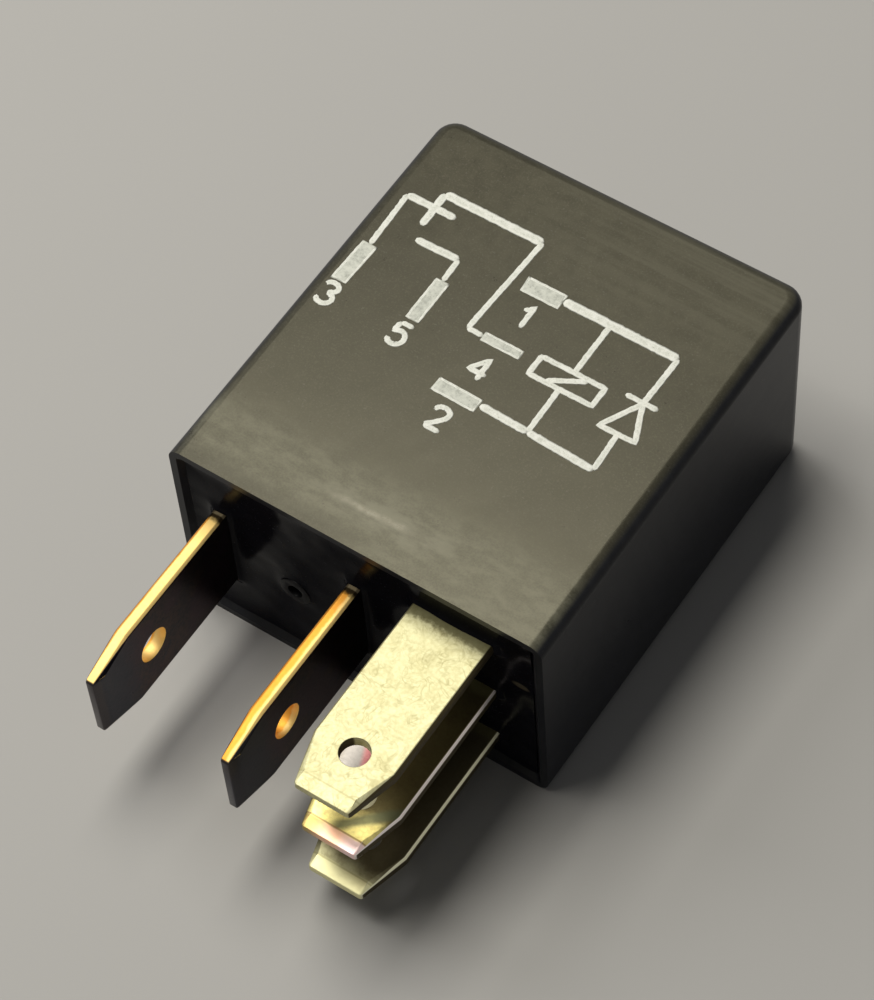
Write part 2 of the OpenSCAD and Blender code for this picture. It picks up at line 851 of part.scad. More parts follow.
cover();
seal();
base();
terminal_1();
terminal_2();
terminal_3();
terminal_4();
terminal_5();
yoke();
core();
bobbin();
winding();
coil_leads();
armature();
armature_rivets();
contact_spring();
spring_rivets();
moving_contact();
make_contact();
break_contact();
diode_body();
diode_leads();
solder_joints();
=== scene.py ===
import math
import random

import bpy
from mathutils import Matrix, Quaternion, Vector, noise


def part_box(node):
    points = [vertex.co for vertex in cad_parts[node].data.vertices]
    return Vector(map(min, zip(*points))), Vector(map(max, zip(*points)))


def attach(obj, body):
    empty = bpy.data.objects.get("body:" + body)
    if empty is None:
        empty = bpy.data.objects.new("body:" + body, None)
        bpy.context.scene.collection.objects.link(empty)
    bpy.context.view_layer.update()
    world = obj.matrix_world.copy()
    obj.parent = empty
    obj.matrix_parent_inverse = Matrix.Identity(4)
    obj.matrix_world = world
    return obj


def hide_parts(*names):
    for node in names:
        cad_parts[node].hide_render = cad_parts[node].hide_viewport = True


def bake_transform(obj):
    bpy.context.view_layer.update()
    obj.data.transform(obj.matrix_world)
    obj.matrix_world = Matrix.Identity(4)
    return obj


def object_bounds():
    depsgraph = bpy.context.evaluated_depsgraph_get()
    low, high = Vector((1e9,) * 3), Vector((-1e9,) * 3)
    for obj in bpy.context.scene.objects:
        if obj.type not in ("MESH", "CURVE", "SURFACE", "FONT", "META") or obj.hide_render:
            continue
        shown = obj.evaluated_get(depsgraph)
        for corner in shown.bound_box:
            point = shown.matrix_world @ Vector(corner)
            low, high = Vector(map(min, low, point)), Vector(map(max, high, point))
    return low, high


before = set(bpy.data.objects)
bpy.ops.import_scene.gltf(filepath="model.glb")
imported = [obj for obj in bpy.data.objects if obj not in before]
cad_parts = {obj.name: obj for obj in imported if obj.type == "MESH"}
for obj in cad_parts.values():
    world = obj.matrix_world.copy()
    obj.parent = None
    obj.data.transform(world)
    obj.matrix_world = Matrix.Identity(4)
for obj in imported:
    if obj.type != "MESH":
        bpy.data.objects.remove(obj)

mm = 0.001
tiny = 1e-6  # metres
mergeReach = 2e-7  # joins the loose triangles of a CAD node
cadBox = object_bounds()
inkRoom = 0.015  # millimetres by which the printed face is lowered, so that the print stays in the box
inkFloor = cadBox[1].z / mm - inkRoom  # the printed face's height, in millimetres

stageLook = {
    "floor": (0.498, 0.492, 0.477), "floorSize": 1.6,
    "floorGrain": 0.02, "floorLift": 1.05,  # scale of the slow cloud, and its lighter tone
    "floorRough": 0.6, "floorSpecular": 0.3,
    "worldColour": (0.97, 0.98, 1.0), "worldStrength": 0.07,
    "backdrop": (0.45, 0.44, 0.42),
    "lamps": [
        # name, place, width and length, power, colour; topLight hangs level, the others look at the part
        ("topLight", (-0.115, 0.055, 0.367), (0.15, 0.28), 0.88, (1.0, 0.965, 0.88)),
        ("leftLight", (-0.45, 0.05, 0.40), (0.35, 0.35), 1.10, (1.0, 0.98, 0.95)),
        ("frontLight", (-0.12, -0.10, 0.36), (0.10, 0.10), 0.13, (1.0, 0.97, 0.90)),
    ],
}

meshing = {  # degrees: faces within flat are one, edges sharper than edge get a round
    "flat": 0.5, "edge": 25, "roundSteps": 2, "shading": 35,
}

cameraLook = {
    "aim": (2.06, 4.59, 7.1),  # a point of the printed face, in millimetres
    "distance": 174.6,
    "azimuth": 38.27, "elevation": 57.14, "roll": -5.25,
    "lens": 127.06, "sensor": 36.0,
    "nearest": 0.01, "farthest": 10,
}


def clearAll():
    if bpy.context.object and bpy.context.object.mode != "OBJECT":
        bpy.ops.object.mode_set(mode="OBJECT")
    bpy.ops.object.select_all(action="DESELECT")


def only(piece):
    clearAll()
    piece.select_set(True)
    bpy.context.view_layer.objects.active = piece


def settle(piece):  # its place goes into its mesh
    only(piece)
    bpy.ops.object.transform_apply(location=True, rotation=True, scale=True)


def pick(piece, kind, test):  # selects by place and by normal or direction, and stays in edit mode
    only(piece)
    bpy.ops.object.mode_set(mode="EDIT")
    bpy.ops.mesh.select_mode(type=kind)
    bpy.ops.mesh.select_all(action="DESELECT")
    bpy.ops.object.mode_set(mode="OBJECT")
    mesh = piece.data
    if kind == "FACE":
        for face in mesh.polygons:
            face.select = test(face.center, face.normal)
    elif kind == "EDGE":
        for edge in mesh.edges:
            a, b = (mesh.vertices[i].co for i in edge.vertices)
            edge.select = test((a + b) / 2, b - a)
    else:
        for vertex in mesh.vertices:
            vertex.select = test(vertex.co, vertex.normal)
    bpy.ops.object.mode_set(mode="EDIT")


def anywhere(place, normal):
    return True


def addBox(name, low, high):
    clearAll()
    low, high = Vector(low), Vector(high)
    bpy.ops.mesh.primitive_cube_add(size=1, location=(low + high) / 2, scale=high - low)
    piece = bpy.context.object
    piece.name = piece.data.name = name
    settle(piece)
    return piece


def joined(pieces, name):
    clearAll()
    for piece in pieces:
        piece.select_set(True)
    bpy.context.view_layer.objects.active = pieces[0]
    bpy.ops.object.join()
    pieces[0].name = pieces[0].data.name = name
    return pieces[0]


def applyModifier(piece, kind, **settings):
    only(piece)
    modifier = piece.modifiers.new(kind.title(), kind)
    for key, value in settings.items():
        setattr(modifier, key, value)
    bpy.ops.object.modifier_apply(modifier=modifier.name)


def smooth(piece, degrees=30):
    only(piece)
    bpy.ops.object.shade_smooth_by_angle(angle=math.radians(degrees))


def dress(piece, finish, body="relay", stands=()):
    piece.data.materials.clear()
    piece.data.materials.append(finish)
    if body:
        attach(piece, body)
    if stands:
        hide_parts(*stands)


def mergedCopy(node, name):  # of a CAD node; stays in edit mode with all of it selected
    clearAll()
    piece = bpy.data.objects.new(name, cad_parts[node].data.copy())
    bpy.context.scene.collection.objects.link(piece)
    pick(piece, "VERT", anywhere)
    bpy.ops.mesh.remove_doubles(threshold=mergeReach)
    return piece


def roundedCopy(node, name, width):  # a copy whose hard edges get a small round
    piece = mergedCopy(node, name)
    bpy.ops.mesh.dissolve_limited(angle_limit=math.radians(meshing["flat"]))
    bpy.ops.object.mode_set(mode="OBJECT")
    if width:
        applyModifier(piece, "BEVEL", width=width * mm, segments=meshing["roundSteps"], limit_method="ANGLE",
                      angle_limit=math.radians(meshing["edge"]), miter_outer="MITER_ARC")
    smooth(piece, meshing["shading"])
    return piece


class Wire:  # one output of a node; sums on it add Math nodes
    def __init__(self, finish, socket):
        self.finish, self.socket = finish, socket

    def sum(self, kind, a, b):
        return self.finish.node("Math", {"operation": kind}, {0: a, 1: b})

    def __add__(self, other):
        return self.sum("ADD", self, other)

    def __sub__(self, other):
        return self.sum("SUBTRACT", self, other)

    def __rsub__(self, other):
        return self.sum("SUBTRACT", other, self)

    def __mul__(self, other):
        return self.sum("MULTIPLY", self, other)

    def __pow__(self, other):
        return self.sum("POWER", self, other)

    def __neg__(self):
        return self.sum("MULTIPLY", self, -1)

    def __abs__(self):
        return self.sum("ABSOLUTE", self, 0.0)

    __radd__ = __add__
    __rmul__ = __mul__


class Finish:  # one material, whose coordinates are in millimetres, or the world
    def __init__(self, name, world=None):
        self.material = world or bpy.data.materials.new(name)
        self.material.use_nodes = True
        self.tree = self.material.node_tree
        self.tree.nodes.clear()
        if world:
            return
        objectPlace = self.node("TexCoord", out="Object")
        self.place = self.node("Mapping", {}, {"Vector": objectPlace, "Scale": (1 / mm,) * 3})
        self.x, self.y, self.z = (self.node("SeparateXYZ", {}, {"Vector": self.place}, axis)
                                  for axis in "XYZ")

    def node(self, kind, settings=None, values=None, out=0):
        made = self.tree.nodes.new("ShaderNode" + kind)
        for key, value in (settings or {}).items():
            setattr(made, key, value)
        for key, value in (values or {}).items():
            if isinstance(value, Wire):
                self.tree.links.new(value.socket, made.inputs[key])
            else:
                made.inputs[key].default_value = value
        return Wire(self, made.outputs[out]) if made.outputs else None

    def noise(self, scale, detail=2.0, rough=0.5, bend=0.0, stretch=(1, 1, 1), shift=(0, 0, 0)):
        place = self.node("Mapping", {}, {"Vector": self.place, "Scale": stretch, "Location": shift})
        return self.node("TexNoise", {}, {"Vector": place, "Scale": scale, "Detail": detail,
                                          "Roughness": rough, "Distortion": bend}, "Fac")

    def rise(self, value, low, high):  # 0 below low, 1 above high
        return self.node("MapRange", {"interpolation_type": "SMOOTHSTEP"},
                         {"Value": value, "From Min": low, "From Max": high}, "Result")

    def fall(self, value, low, high):  # 1 below low, 0 above high
        return 1 - self.rise(value, low, high)

    def between(self, value, start, full, fade, end):  # 1 from full to fade, 0 outside start to end
        return self.rise(value, start, full) * self.fall(value, fade, end)

    def spread(self, value, low, high):  # 0..1 turned to low..high
        return value * (high - low) + low

    def distance(self, first, second, weights=(1, 1)):
        return (first * first * weights[0] + second * second * weights[1]) ** 0.5

    def mix(self, mask, first, second):
        first, second = ((*c, 1) if isinstance(c, tuple) else c for c in (first, second))
        return self.node("Mix", {"data_type": "RGBA"}, {0: mask, 6: first, 7: second}, 2)

    def normalPart(self, axis):
        normal = self.node("NewGeometry", out="Normal")
        return self.node("SeparateXYZ", {}, {"Vector": normal}, axis)

    def bump(self, height, depth, under=None):
        values = {"Height": height, "Distance": depth * mm, "Strength": 1.0}
        if under:
            values["Normal"] = under
        return self.node("Bump", {}, values, "Normal")

    def principled(self, **values):
        named = {key.replace("_", " "): ((*v, 1) if isinstance(v, tuple) and len(v) == 3 else v)
                 for key, v in values.items()}
        return self.node("BsdfPrincipled", {}, named)

    def finished(self, surface):
        self.node("OutputMaterial", {}, {"Surface": surface})
        return self.material

    def shader(self, **values):
        return self.finished(self.principled(**values))


def makeFloor():
    clearAll()
    bpy.ops.mesh.primitive_grid_add(x_subdivisions=4, y_subdivisions=4, size=stageLook["floorSize"],
                                    location=(0, 0, cadBox[0].z))
    floor = bpy.context.object
    floor.name = "floor"
    finish = Finish("floorPaint")
    lighter = tuple(c * stageLook["floorLift"] for c in stageLook["floor"])
    tone = finish.mix(finish.noise(stageLook["floorGrain"]), stageLook["floor"], lighter)
    floor.data.materials.append(finish.shader(Base_Color=tone, Roughness=stageLook["floorRough"],
                                              Specular_IOR_Level=stageLook["floorSpecular"]))


def makeWorld():
    world = bpy.data.worlds.new("studio")
    bpy.context.scene.world = world
    sky = Finish("studio", world)
    camera, glossy, through = (sky.node("LightPath", out="Is " + kind + " Ray")
                               for kind in ("Camera", "Glossy", "Transmission"))
    soft = sky.node("Background", {}, {"Color": (*stageLook["worldColour"], 1),
                                       "Strength": stageLook["worldStrength"]})
    seen = sky.node("Background", {}, {"Color": (*stageLook["backdrop"], 1), "Strength": 1.0})
    both = sky.node("MixShader", {}, {0: camera + glossy + through, 1: soft, 2: seen})
    sky.node("OutputWorld", {}, {"Surface": both})


def makeLamps():
    for name, place, size, power, colour in stageLook["lamps"]:
        data = bpy.data.lights.new(name, "AREA")
        data.shape, data.energy, data.color = "RECTANGLE", power, colour
        data.size, data.size_y = size
        lamp = bpy.data.objects.new(name, data)
        lamp.location = place
        if name != "topLight":
            lamp.rotation_mode = "QUATERNION"
            lamp.rotation_quaternion = (-Vector(place)).to_track_quat("-Z", "Y")
        bpy.context.scene.collection.objects.link(lamp)


def makeCamera():
    data = bpy.data.cameras.new("camera")
    data.lens, data.sensor_width = cameraLook["lens"], cameraLook["sensor"]
    data.clip_start, data.clip_end = cameraLook["nearest"], cameraLook["farthest"]
    camera = bpy.data.objects.new("camera", data)
    turned, above = math.radians(cameraLook["azimuth"]), math.radians(cameraLook["elevation"])
    level = math.cos(above)
    outward = Vector((math.sin(turned) * level, -math.cos(turned) * level, math.sin(above)))
    camera.location = (Vector(cameraLook["aim"]) + outward * cameraLook["distance"]) * mm
    camera.rotation_mode = "QUATERNION"
    roll = Quaternion((0, 0, 1), math.radians(cameraLook["roll"]))
    camera.rotation_quaternion = (-outward).to_track_quat("-Z", "Y") @ roll
    bpy.context.scene.collection.objects.link(camera)
    bpy.context.scene.camera = camera


makeFloor()
makeWorld()
makeLamps()
makeCamera()
bpy.context.scene.view_settings.view_transform = "Standard"
print("stage and camera made")

coverFinish = {
    "patches": ((0.026, 0.024, 0.015), (0.040, 0.0375, 0.024)),  # darker and lighter olive
    "middle": (0.014, 0.013, 0.008), "middleRange": (4.0, 8.0, 14.0, 21.0),  # heights where it comes and goes
    "mouth": ((0.034, 0.033, 0.022), (0.140, 0.137, 0.100)), "mouthReach": (3.6, 6.2),
    # painted shade: the printed face darker along the rounded rim at the open end
    "rim": (0.008, 0.008, 0.006), "rimShadeReach": (0.7, 1.9), "rimShadeLength": (-1.0, 3.5),
    # painted sheen: a pale rubbed band near the open end and its wider dull halo
    "streak": (0.38, 0.36, 0.29), "streakHeight": 2.4, "streakWidth": (0.0, 0.32),
    "streakRange": (-3.6, -1.0, 1.0, 3.0),
    "halo": (0.18, 0.175, 0.135), "haloHeight": 2.3, "haloWidth": (0.2, 1.1),
    "haloRange": (-4.5, -1.0, 3.0, 5.0),
    "dust": (0.085, 0.082, 0.060), "specks": (0.10, 0.10, 0.09),
    "bands": (0.066, 0.063, 0.045), "bandsFrom": (17.5, 24.0), "bandsAcross": (-8.0, 6.0),
    "rough": (0.24, 0.36), "specular": 0.55, "specularTint": (1.0, 0.95, 0.72),
    # painted shade and painted reflection of the floor: the sides darker and bluish
    "side": ((0.019, 0.020, 0.024), (0.025, 0.026, 0.031)), "sideSpecks": (0.05, 0.05, 0.05),
    "sideSpecular": 0.10,
    "grainDepth": 0.0022, "waveDepth": 0.022,
}


def rubbedSheenStreak(f, look, tone, mottled, blotches):  # a pale band near the open end, in a wide dull halo: rubbing, with painted sheen on it
    height = f.y - f.x * 0.04 + f.noise(0.5, 3, 0.6, stretch=(1, 0.1, 1)) * 0.3
    core = f.fall(abs(height - look["streakHeight"]), *look["streakWidth"])
    core = core * f.between(f.x, *look["streakRange"]) * f.spread(mottled, -0.3, 1.9)
    halo = f.fall(abs(height - look["haloHeight"]), *look["haloWidth"])
    halo = halo * f.between(f.x, *look["haloRange"]) * f.spread(blotches, 0.4, 1.2)
    return f.mix(core * 0.7, f.mix(halo * 0.6, tone, look["halo"]), look["streak"])


def coverPlastic(look):
    # satin black moulding; the printed face is olive, cloudy and rubbed, its olive partly painted warm sheen;
    # the other faces are plainer and painted darker and bluish, as shade and reflection of the floor
    f = Finish("coverPlastic")
    cloudy = f.noise(0.22, 3, 0.55)
    mottled = f.noise(1.3, 5, 0.65, shift=(7, 2, 4))
    grain = f.noise(14, 2, 0.5)
    dust = f.noise(9, 4, 0.7, shift=(1, 6, 2))
    bands = f.noise(1.0, 3, 0.6, stretch=(0.05, 1.6, 0.4), shift=(3, 1, 0))
    specks = f.rise(f.noise(6.5, 1, 0.5, shift=(11, 5, 3)), 0.70, 0.76)
    patches = f.rise(cloudy * 0.3 + mottled * 0.7, 0.40, 0.62)
    blotches = f.rise(f.noise(1.1, 4, 0.65, stretch=(0.5, 1.2, 1), shift=(2, 8, 1)), 0.38, 0.64)
    nearTop = f.rise(f.y, *look["bandsFrom"]) * f.rise(f.x, *look["bandsAcross"])
    nearMouth = f.fall(f.y + cloudy * 1.5, *look["mouthReach"])
    rimShade = f.fall(f.y + mottled * 0.8, *look["rimShadeReach"]) * f.fall(f.x + cloudy * 3, *look["rimShadeLength"])

    tone = f.mix(patches, *look["patches"])
    tone = f.mix(f.between(f.y, *look["middleRange"]) * 0.7, tone, look["middle"])
    dull = blotches * 0.5 + patches * 0.3 + f.rise(dust, 0.40, 0.62) * 0.3
    tone = f.mix(nearMouth, tone, f.mix(dull, *look["mouth"]))
    # painted shade along the rounded rim at the open end
    tone = f.mix(rimShade * 0.8, tone, look["rim"])
    tone = rubbedSheenStreak(f, look, tone, mottled, blotches)
    tone = f.mix(f.rise(dust, 0.50, 0.64) * 0.35, tone, look["dust"])
    tone = f.mix(specks * 0.4, tone, look["specks"])
    tone = f.mix(nearTop * f.rise(bands, 0.40, 0.60) * 0.8, tone, look["bands"])

    rough = f.spread(mottled, *look["rough"])
    waves = f.noise(0.35, 2, 0.5, stretch=(1, 0.6, 1)) + bands * nearTop * 0.2
    normal = f.bump(waves, look["waveDepth"], f.bump(grain, look["grainDepth"]))
    uneven = rough + bands * nearTop * 0.14 + f.spread(dust, -0.03, 0.03)
    printed = f.principled(Base_Color=tone, Roughness=uneven, Specular_IOR_Level=look["specular"],
                           Specular_Tint=look["specularTint"], Normal=normal)
    # painted shade and painted reflection of the floor on the sides
    sideShadeTone = f.mix(f.rise(mottled, 0.4, 0.7), *look["side"])
    sideShadeTone = f.mix(specks * 0.3, sideShadeTone, look["sideSpecks"])
    shadedSideShader = f.principled(Base_Color=sideShadeTone, Roughness=rough, Specular_IOR_Level=look["sideSpecular"],
                             Normal=normal)
    # one plastic in two tones by facing: the printed face olive, the sides darker and bluish as painted shade
    # and painted reflection
    front = f.rise(f.normalPart("Z"), 0.66, 0.985)
    return f.finished(f.node("MixShader", {}, {0: front, 1: shadedSideShader, 2: printed}))


epoxyFinish = {
    "tones": ((0.004, 0.004, 0.006), (0.010, 0.010, 0.015)), "dust": (0.05, 0.05, 0.055),
    "glint": (0.10, 0.085, 0.055), "glintPlace": (9.6, 1.9), "glintSize": (0.30, 0.55),  # a painted glint: a dull amber spot
    "glintShape": (0.5, 3),  # weights along x and z
    "rough": (0.10, 0.26), "specular": 0.03, "waveDepth": 0.02,
}


def glossyEpoxy(look):
    f = Finish("sealEpoxy")
    cloudy = f.noise(0.8, 3, 0.5)
    dust = f.rise(f.noise(7, 2, 0.6), 0.66, 0.74)
    tone = f.mix(dust * 0.4, f.mix(cloudy, *look["tones"]), look["dust"])
    # painted glint: a dull amber spot on the resin
    glintX, glintZ = look["glintPlace"]
    fromGlint = f.distance(f.x - glintX, f.z - glintZ, look["glintShape"]) + cloudy * 0.2
    tone = f.mix(f.fall(fromGlint, *look["glintSize"]) * 0.8, tone, look["glint"])
    return f.shader(Base_Color=tone, Roughness=f.spread(cloudy, *look["rough"]) + dust * 0.2,
                    Specular_IOR_Level=look["specular"],
                    Normal=f.bump(f.noise(0.7, 1, 0.5), look["waveDepth"]))


def scratches(f):  # two sets of fine winding lines, each in patches
    both = None
    for scale, bend, shift in ((0.62, 2.6, (5, 1, 8)), (1.05, 2.2, (1, 7, 3))):
        line = f.fall(abs(f.noise(scale, 1, 0.5, bend, shift=shift) - 0.5), 0.01, 0.07)
        line = line * f.rise(f.noise(1.3, 1, 0.5, shift=shift), 0.40, 0.64)
        both = line if both is None else both + line * 0.7
    return both


def marks(f, look, tone, cloudy):  # tints of a blade's broad face, with painted shade under the blade above, painted light through the holes and a painted shadow of the tip above, where it has them
    if "shade" in look:
        # painted shade where the blade above covers this one
        tone = f.mix(f.rise(f.y + cloudy, *look["shadeFrom"]) * 0.9, tone, look["shade"])
    if "holeLight" in look:
        # painted light: a lighter patch where light comes through the hole above, pink along one side
        holeLightX, holeLightY = look["holeLightPlace"]
        reach = f.distance(f.x - holeLightX, f.y - holeLightY) + cloudy * 1.2 - 0.4
        holeLight = f.mix(f.rise(f.x + f.y * 0.4, *look["holeLightLine"]), look["holeLight"], look["holeLightEdge"])
        tone = f.mix(f.fall(reach, *look["holeLightSize"]), tone, holeLight)
    if "smudge" in look:
        # painted shadow of the blade above, lying across this blade's tip
        (smudgeX, smudgeY), (leanX, leanY) = look["smudgePlace"], look["smudgeLean"]
        fromLine = abs((f.x - smudgeX) * leanX + (f.y - smudgeY) * leanY) + cloudy * 0.3
        smudge = f.fall(fromLine, *look["smudgeWidth"]) * f.rise(f.x, *look["smudgeFrom"])
        tone = f.mix(smudge * 0.85, tone, look["smudge"])
    if "tip" in look:  # three tones from left to right
        (left, middle, right), (firstStep, secondStep) = look["tip"], look["tipSteps"]
        tipTone = f.mix(f.rise(f.x + cloudy * 0.8, *firstStep), left, middle)
        tipTone = f.mix(f.rise(f.x + cloudy * 0.8, *secondStep), tipTone, right)
        tone = f.mix(f.rise(-f.y + cloudy * 0.2, look["tipFrom"], look["tipFrom"] + 0.15), tone, tipTone)
    return tone


def darkEdges(f, look, tone, cloudy):  # the punched sides of a pale blade
    across = f.normalPart("X")
    onEdge = f.rise(across, *look["rightFrom"]) + f.rise(-across, *look["leftFrom"])
    if "bevel" in look:
        # partly painted highlight: the rounded side edge lighter and tinted
        tone = f.mix(f.rise(across, *look["bevelHighlightFrom"]), tone, look["bevel"])
    return onEdge, f.mix(onEdge, tone, f.mix(cloudy, look["edgeBright"], look["edgeDeep"]))


def goldEdges(f, look, tone, cloudy, fine):  # all but the broad faces of a dark blade, with its hole
    onEdge = f.fall(abs(f.normalPart("X")), *look["broadFrom"]) * f.fall(-f.y, *look["endFrom"])
    half = f.fall(f.x + fine * 0.14 + cloudy * 0.25, look["edgeLine"], look["edgeLine"] + 0.16)
    edgeTone = f.mix(half, look["edgeBright"], look["edgeDeep"])
    edgeTone = f.mix(f.fall(-f.y + fine * 0.4, *look["edgeRootReach"]), edgeTone, look["edgeRoot"])
    # painted highlight: a small pale glint at the edges' root by the resin
    edgeTone = f.mix(f.rise(f.y + fine * 0.1, *look["edgeGlintFrom"]), edgeTone, look["edgeGlint"])
    tint = f.rise(f.noise(0.35, 2, 0.5, 0.6, shift=(4, 4, 1)), 0.46, 0.60)
    tone = f.mix(tint * 0.7, tone, look["tint"])
    tone = f.mix(f.rise(-f.y + cloudy * 2, *look["farBlueFrom"]) * 0.8, tone, look["farBlue"])
    return onEdge, f.mix(onEdge, tone, edgeTone)


def brass(name, look):
    # rolled strip: broad faces, punched edges in another tone, a line at the coined tip, darker towards the
    # root
    f = Finish(name)
    cloudy = f.noise(0.9, 4, 0.6)
    fine = f.noise(5.0, 3, 0.6, shift=(2, 9, 4))
    scratch = scratches(f)
    tone = f.mix(f.rise(cloudy * 0.5 + fine * 0.5, 0.36, 0.66), look["bright"], look["deep"])
    tone = f.mix(scratch * look["scratch"], tone, look["dark"])
    tone = marks(f, look, tone, cloudy)
    tipLine = f.fall(abs(f.y + look["tipLineAt"]), *look["tipLineWidth"])
    tone = f.mix(tipLine * look["tipLine"], tone, look["dark"])
    root = f.fall(-f.y + cloudy * 0.7 - fine * 0.5, *look["rootReach"])
    tone = f.mix(root * f.spread(cloudy, 0.7, 1.0), tone, look["root"])
    if "edgeLine" in look:
        onEdge, tone = goldEdges(f, look, tone, cloudy, fine)
    else:
        onEdge, tone = darkEdges(f, look, tone, cloudy)
    inside = f.rise(f.y, *look["insideFrom"])
    tone = f.mix(inside, tone, f.mix(cloudy, look["inner"], tuple(c * 0.8 for c in look["inner"])))
    rough = f.spread(fine, *look["rough"]) + root * (1 - inside) * 0.1
    rough = rough * (1 - onEdge) + onEdge * f.spread(fine, *look["edgeRough"])
    return f.shader(Base_Color=tone, Metallic=1.0, Roughness=rough,
                    Normal=f.bump(fine * 0.5 + scratch * 0.3, look["grainDepth"]))


rolledStrip = {  # what all blades share
    "tipLineAt": 10.45, "tipLineWidth": (0.02, 0.07), "tipSteps": ((4.9, 5.9), (6.4, 7.4)),
    "insideFrom": (0.95, 1.15),  # behind the seal the strip is clean
    "grainDepth": 0.004,
}
paleBrass = {
    # how far the surface turns sideways before it takes the lighter, partly painted highlight tone
    **rolledStrip, "leftFrom": (0.88, 0.96), "bevelHighlightFrom": (0.45, 0.6),
    "bright": (0.60, 0.58, 0.36), "deep": (0.52, 0.49, 0.28), "dark": (0.33, 0.30, 0.15),
    "root": (0.14, 0.13, 0.06), "rootReach": (0.3, 0.75), "scratch": 0.42, "rough": (0.48, 0.60),
    "inner": (0.70, 0.62, 0.38), "tipLine": 0.5, "rightFrom": (0.55, 0.68),
    "edgeBright": (0.10, 0.08, 0.04), "edgeDeep": (0.07, 0.055, 0.03), "edgeRough": (0.42, 0.56),
}
shadedBrass = {  # a pale blade that lies under another one, with painted shade where that one covers it and painted light through its holes
    **paleBrass, "shade": (0.07, 0.055, 0.03),
    # painted light through the hole above: where the lighter patch lies, how far it reaches, and where its
    # edge tone starts
    "holeLightPlace": (4.6, -6.6), "holeLightSize": (1.0, 2.3), "holeLightLine": (1.9, 2.3),
    "rightFrom": (0.88, 0.96),
}
middleBrass = {
    **shadedBrass, "bright": (0.90, 0.78, 0.30), "deep": (0.70, 0.60, 0.22), "dark": (0.34, 0.20, 0.09),
    "rough": (0.34, 0.46), "scratch": 0.25, "shadeFrom": (-9.3, -8.1),
    "tip": ((0.44, 0.33, 0.12), (0.92, 0.56, 0.38), (0.88, 0.66, 0.64)), "tipFrom": 10.5, "tipLine": 0.8,
    # painted shadow of the blade above across the tip
    "smudge": (0.13, 0.14, 0.08), "smudgePlace": (6.55, -9.55), "smudgeLean": (-0.67, 0.742),
    "smudgeWidth": (0.25, 0.60), "smudgeFrom": (5.2, 5.9),
    # the lighter patch is painted light through the hole above; the side-edge tone is partly painted
    # highlight
    "holeLight": (0.30, 0.28, 0.26), "holeLightEdge": (0.50, 0.20, 0.20), "bevel": (0.90, 0.82, 0.78),
}
lowestBrass = {
    **shadedBrass, "rough": (0.46, 0.58), "scratch": 0.3, "shadeFrom": (-10.3, -9.0),
    "tip": ((0.74, 0.71, 0.42),) * 3, "tipFrom": 10.42,
    # the lighter patch is painted light through the hole above; the side-edge tone is partly painted
    # highlight
    "holeLight": (0.62, 0.59, 0.40), "holeLightEdge": (0.62, 0.59, 0.40), "bevel": (0.80, 0.78, 0.58),
}
goldBrass = {
    **rolledStrip, "broadFrom": (0.6, 0.72), "endFrom": (11.06, 11.15),
    "bright": (0.085, 0.042, 0.032), "deep": (0.030, 0.022, 0.026), "dark": (0.02, 0.02, 0.03),
    "tint": (0.060, 0.026, 0.040), "farBlue": (0.028, 0.034, 0.048), "farBlueFrom": (8.2, 10.2),
    "tip": ((0.15, 0.085, 0.045),) * 3, "tipFrom": 10.7, "tipLine": 0.3,
    "root": (0.02, 0.018, 0.018), "rootReach": (0.35, 1.5), "scratch": 0.5, "rough": (0.24, 0.36),
    "inner": (0.80, 0.58, 0.28), "edgeBright": (0.88, 0.64, 0.24), "edgeDeep": (0.80, 0.38, 0.06),
    "edgeRoot": (0.03, 0.021, 0.010), "edgeRootReach": (0.45, 0.85),
    # painted highlight at the edges' root by the resin
    "edgeGlint": (0.22, 0.18, 0.11), "edgeGlintFrom": (-0.08, 0.0), "edgeRough": (0.50, 0.64),
}


def plain(name, first, second, metal=0.0, rough=(0.35, 0.5), scale=2.0, depth=0.004, stretch=(1, 1, 1),
          extra=None):
    # an inner piece's finish: two tones, uneven gloss and a fine surface
    f = Finish(name)
    cloudy = f.noise(scale, 4, 0.6, stretch=stretch)
    fine = f.noise(scale * 5, 3, 0.6, stretch=stretch)
    tone = f.mix(f.rise(cloudy, 0.35, 0.68), first, second)
    return f.shader(Base_Color=tone, Metallic=metal, Roughness=f.spread(fine, *rough),
                    Normal=f.bump(fine, depth), **(extra or {}))


inkFinish = {
    "tones": ((0.99, 1.0, 0.92), (0.88, 0.90, 0.81)),
    "thin": (0.60, 0.62, 0.53), "worn": (0.30, 0.30, 0.25),
    "crown": (0.0085, 0.0115),  # heights above the printed face
    "fill": ((0.78, 0.80, 0.71), (0.56, 0.58, 0.51)), "fillWorn": (0.34, 0.35, 0.30),
    "rough": (0.45, 0.62), "grainDepth": 0.004,
}


def whiteInk(look):
    # printed thin, so the plastic shows through here and there, most along the middle of a line
    f = Finish("whiteInk")
    patchy = f.noise(3.2, 4, 0.65)
    fine = f.noise(11, 3, 0.6, shift=(4, 2, 0))
    tone = f.mix(f.rise(patchy, 0.3, 0.7), *look["tones"])
    onCrown = f.rise(f.z, *(inkFloor + height for height in look["crown"]))
    thin = onCrown * f.rise(patchy * 0.5 + fine * 0.5, 0.40, 0.60)
    tone = f.mix(thin * 0.5, tone, look["thin"])
    worn = f.rise(fine + patchy * 0.35, 0.80, 0.92)
    tone = f.mix(worn * 0.45, tone, look["worn"])
    return f.shader(Base_Color=tone, Roughness=f.spread(fine, *look["rough"]),
                    Normal=f.bump(fine, look["grainDepth"]))


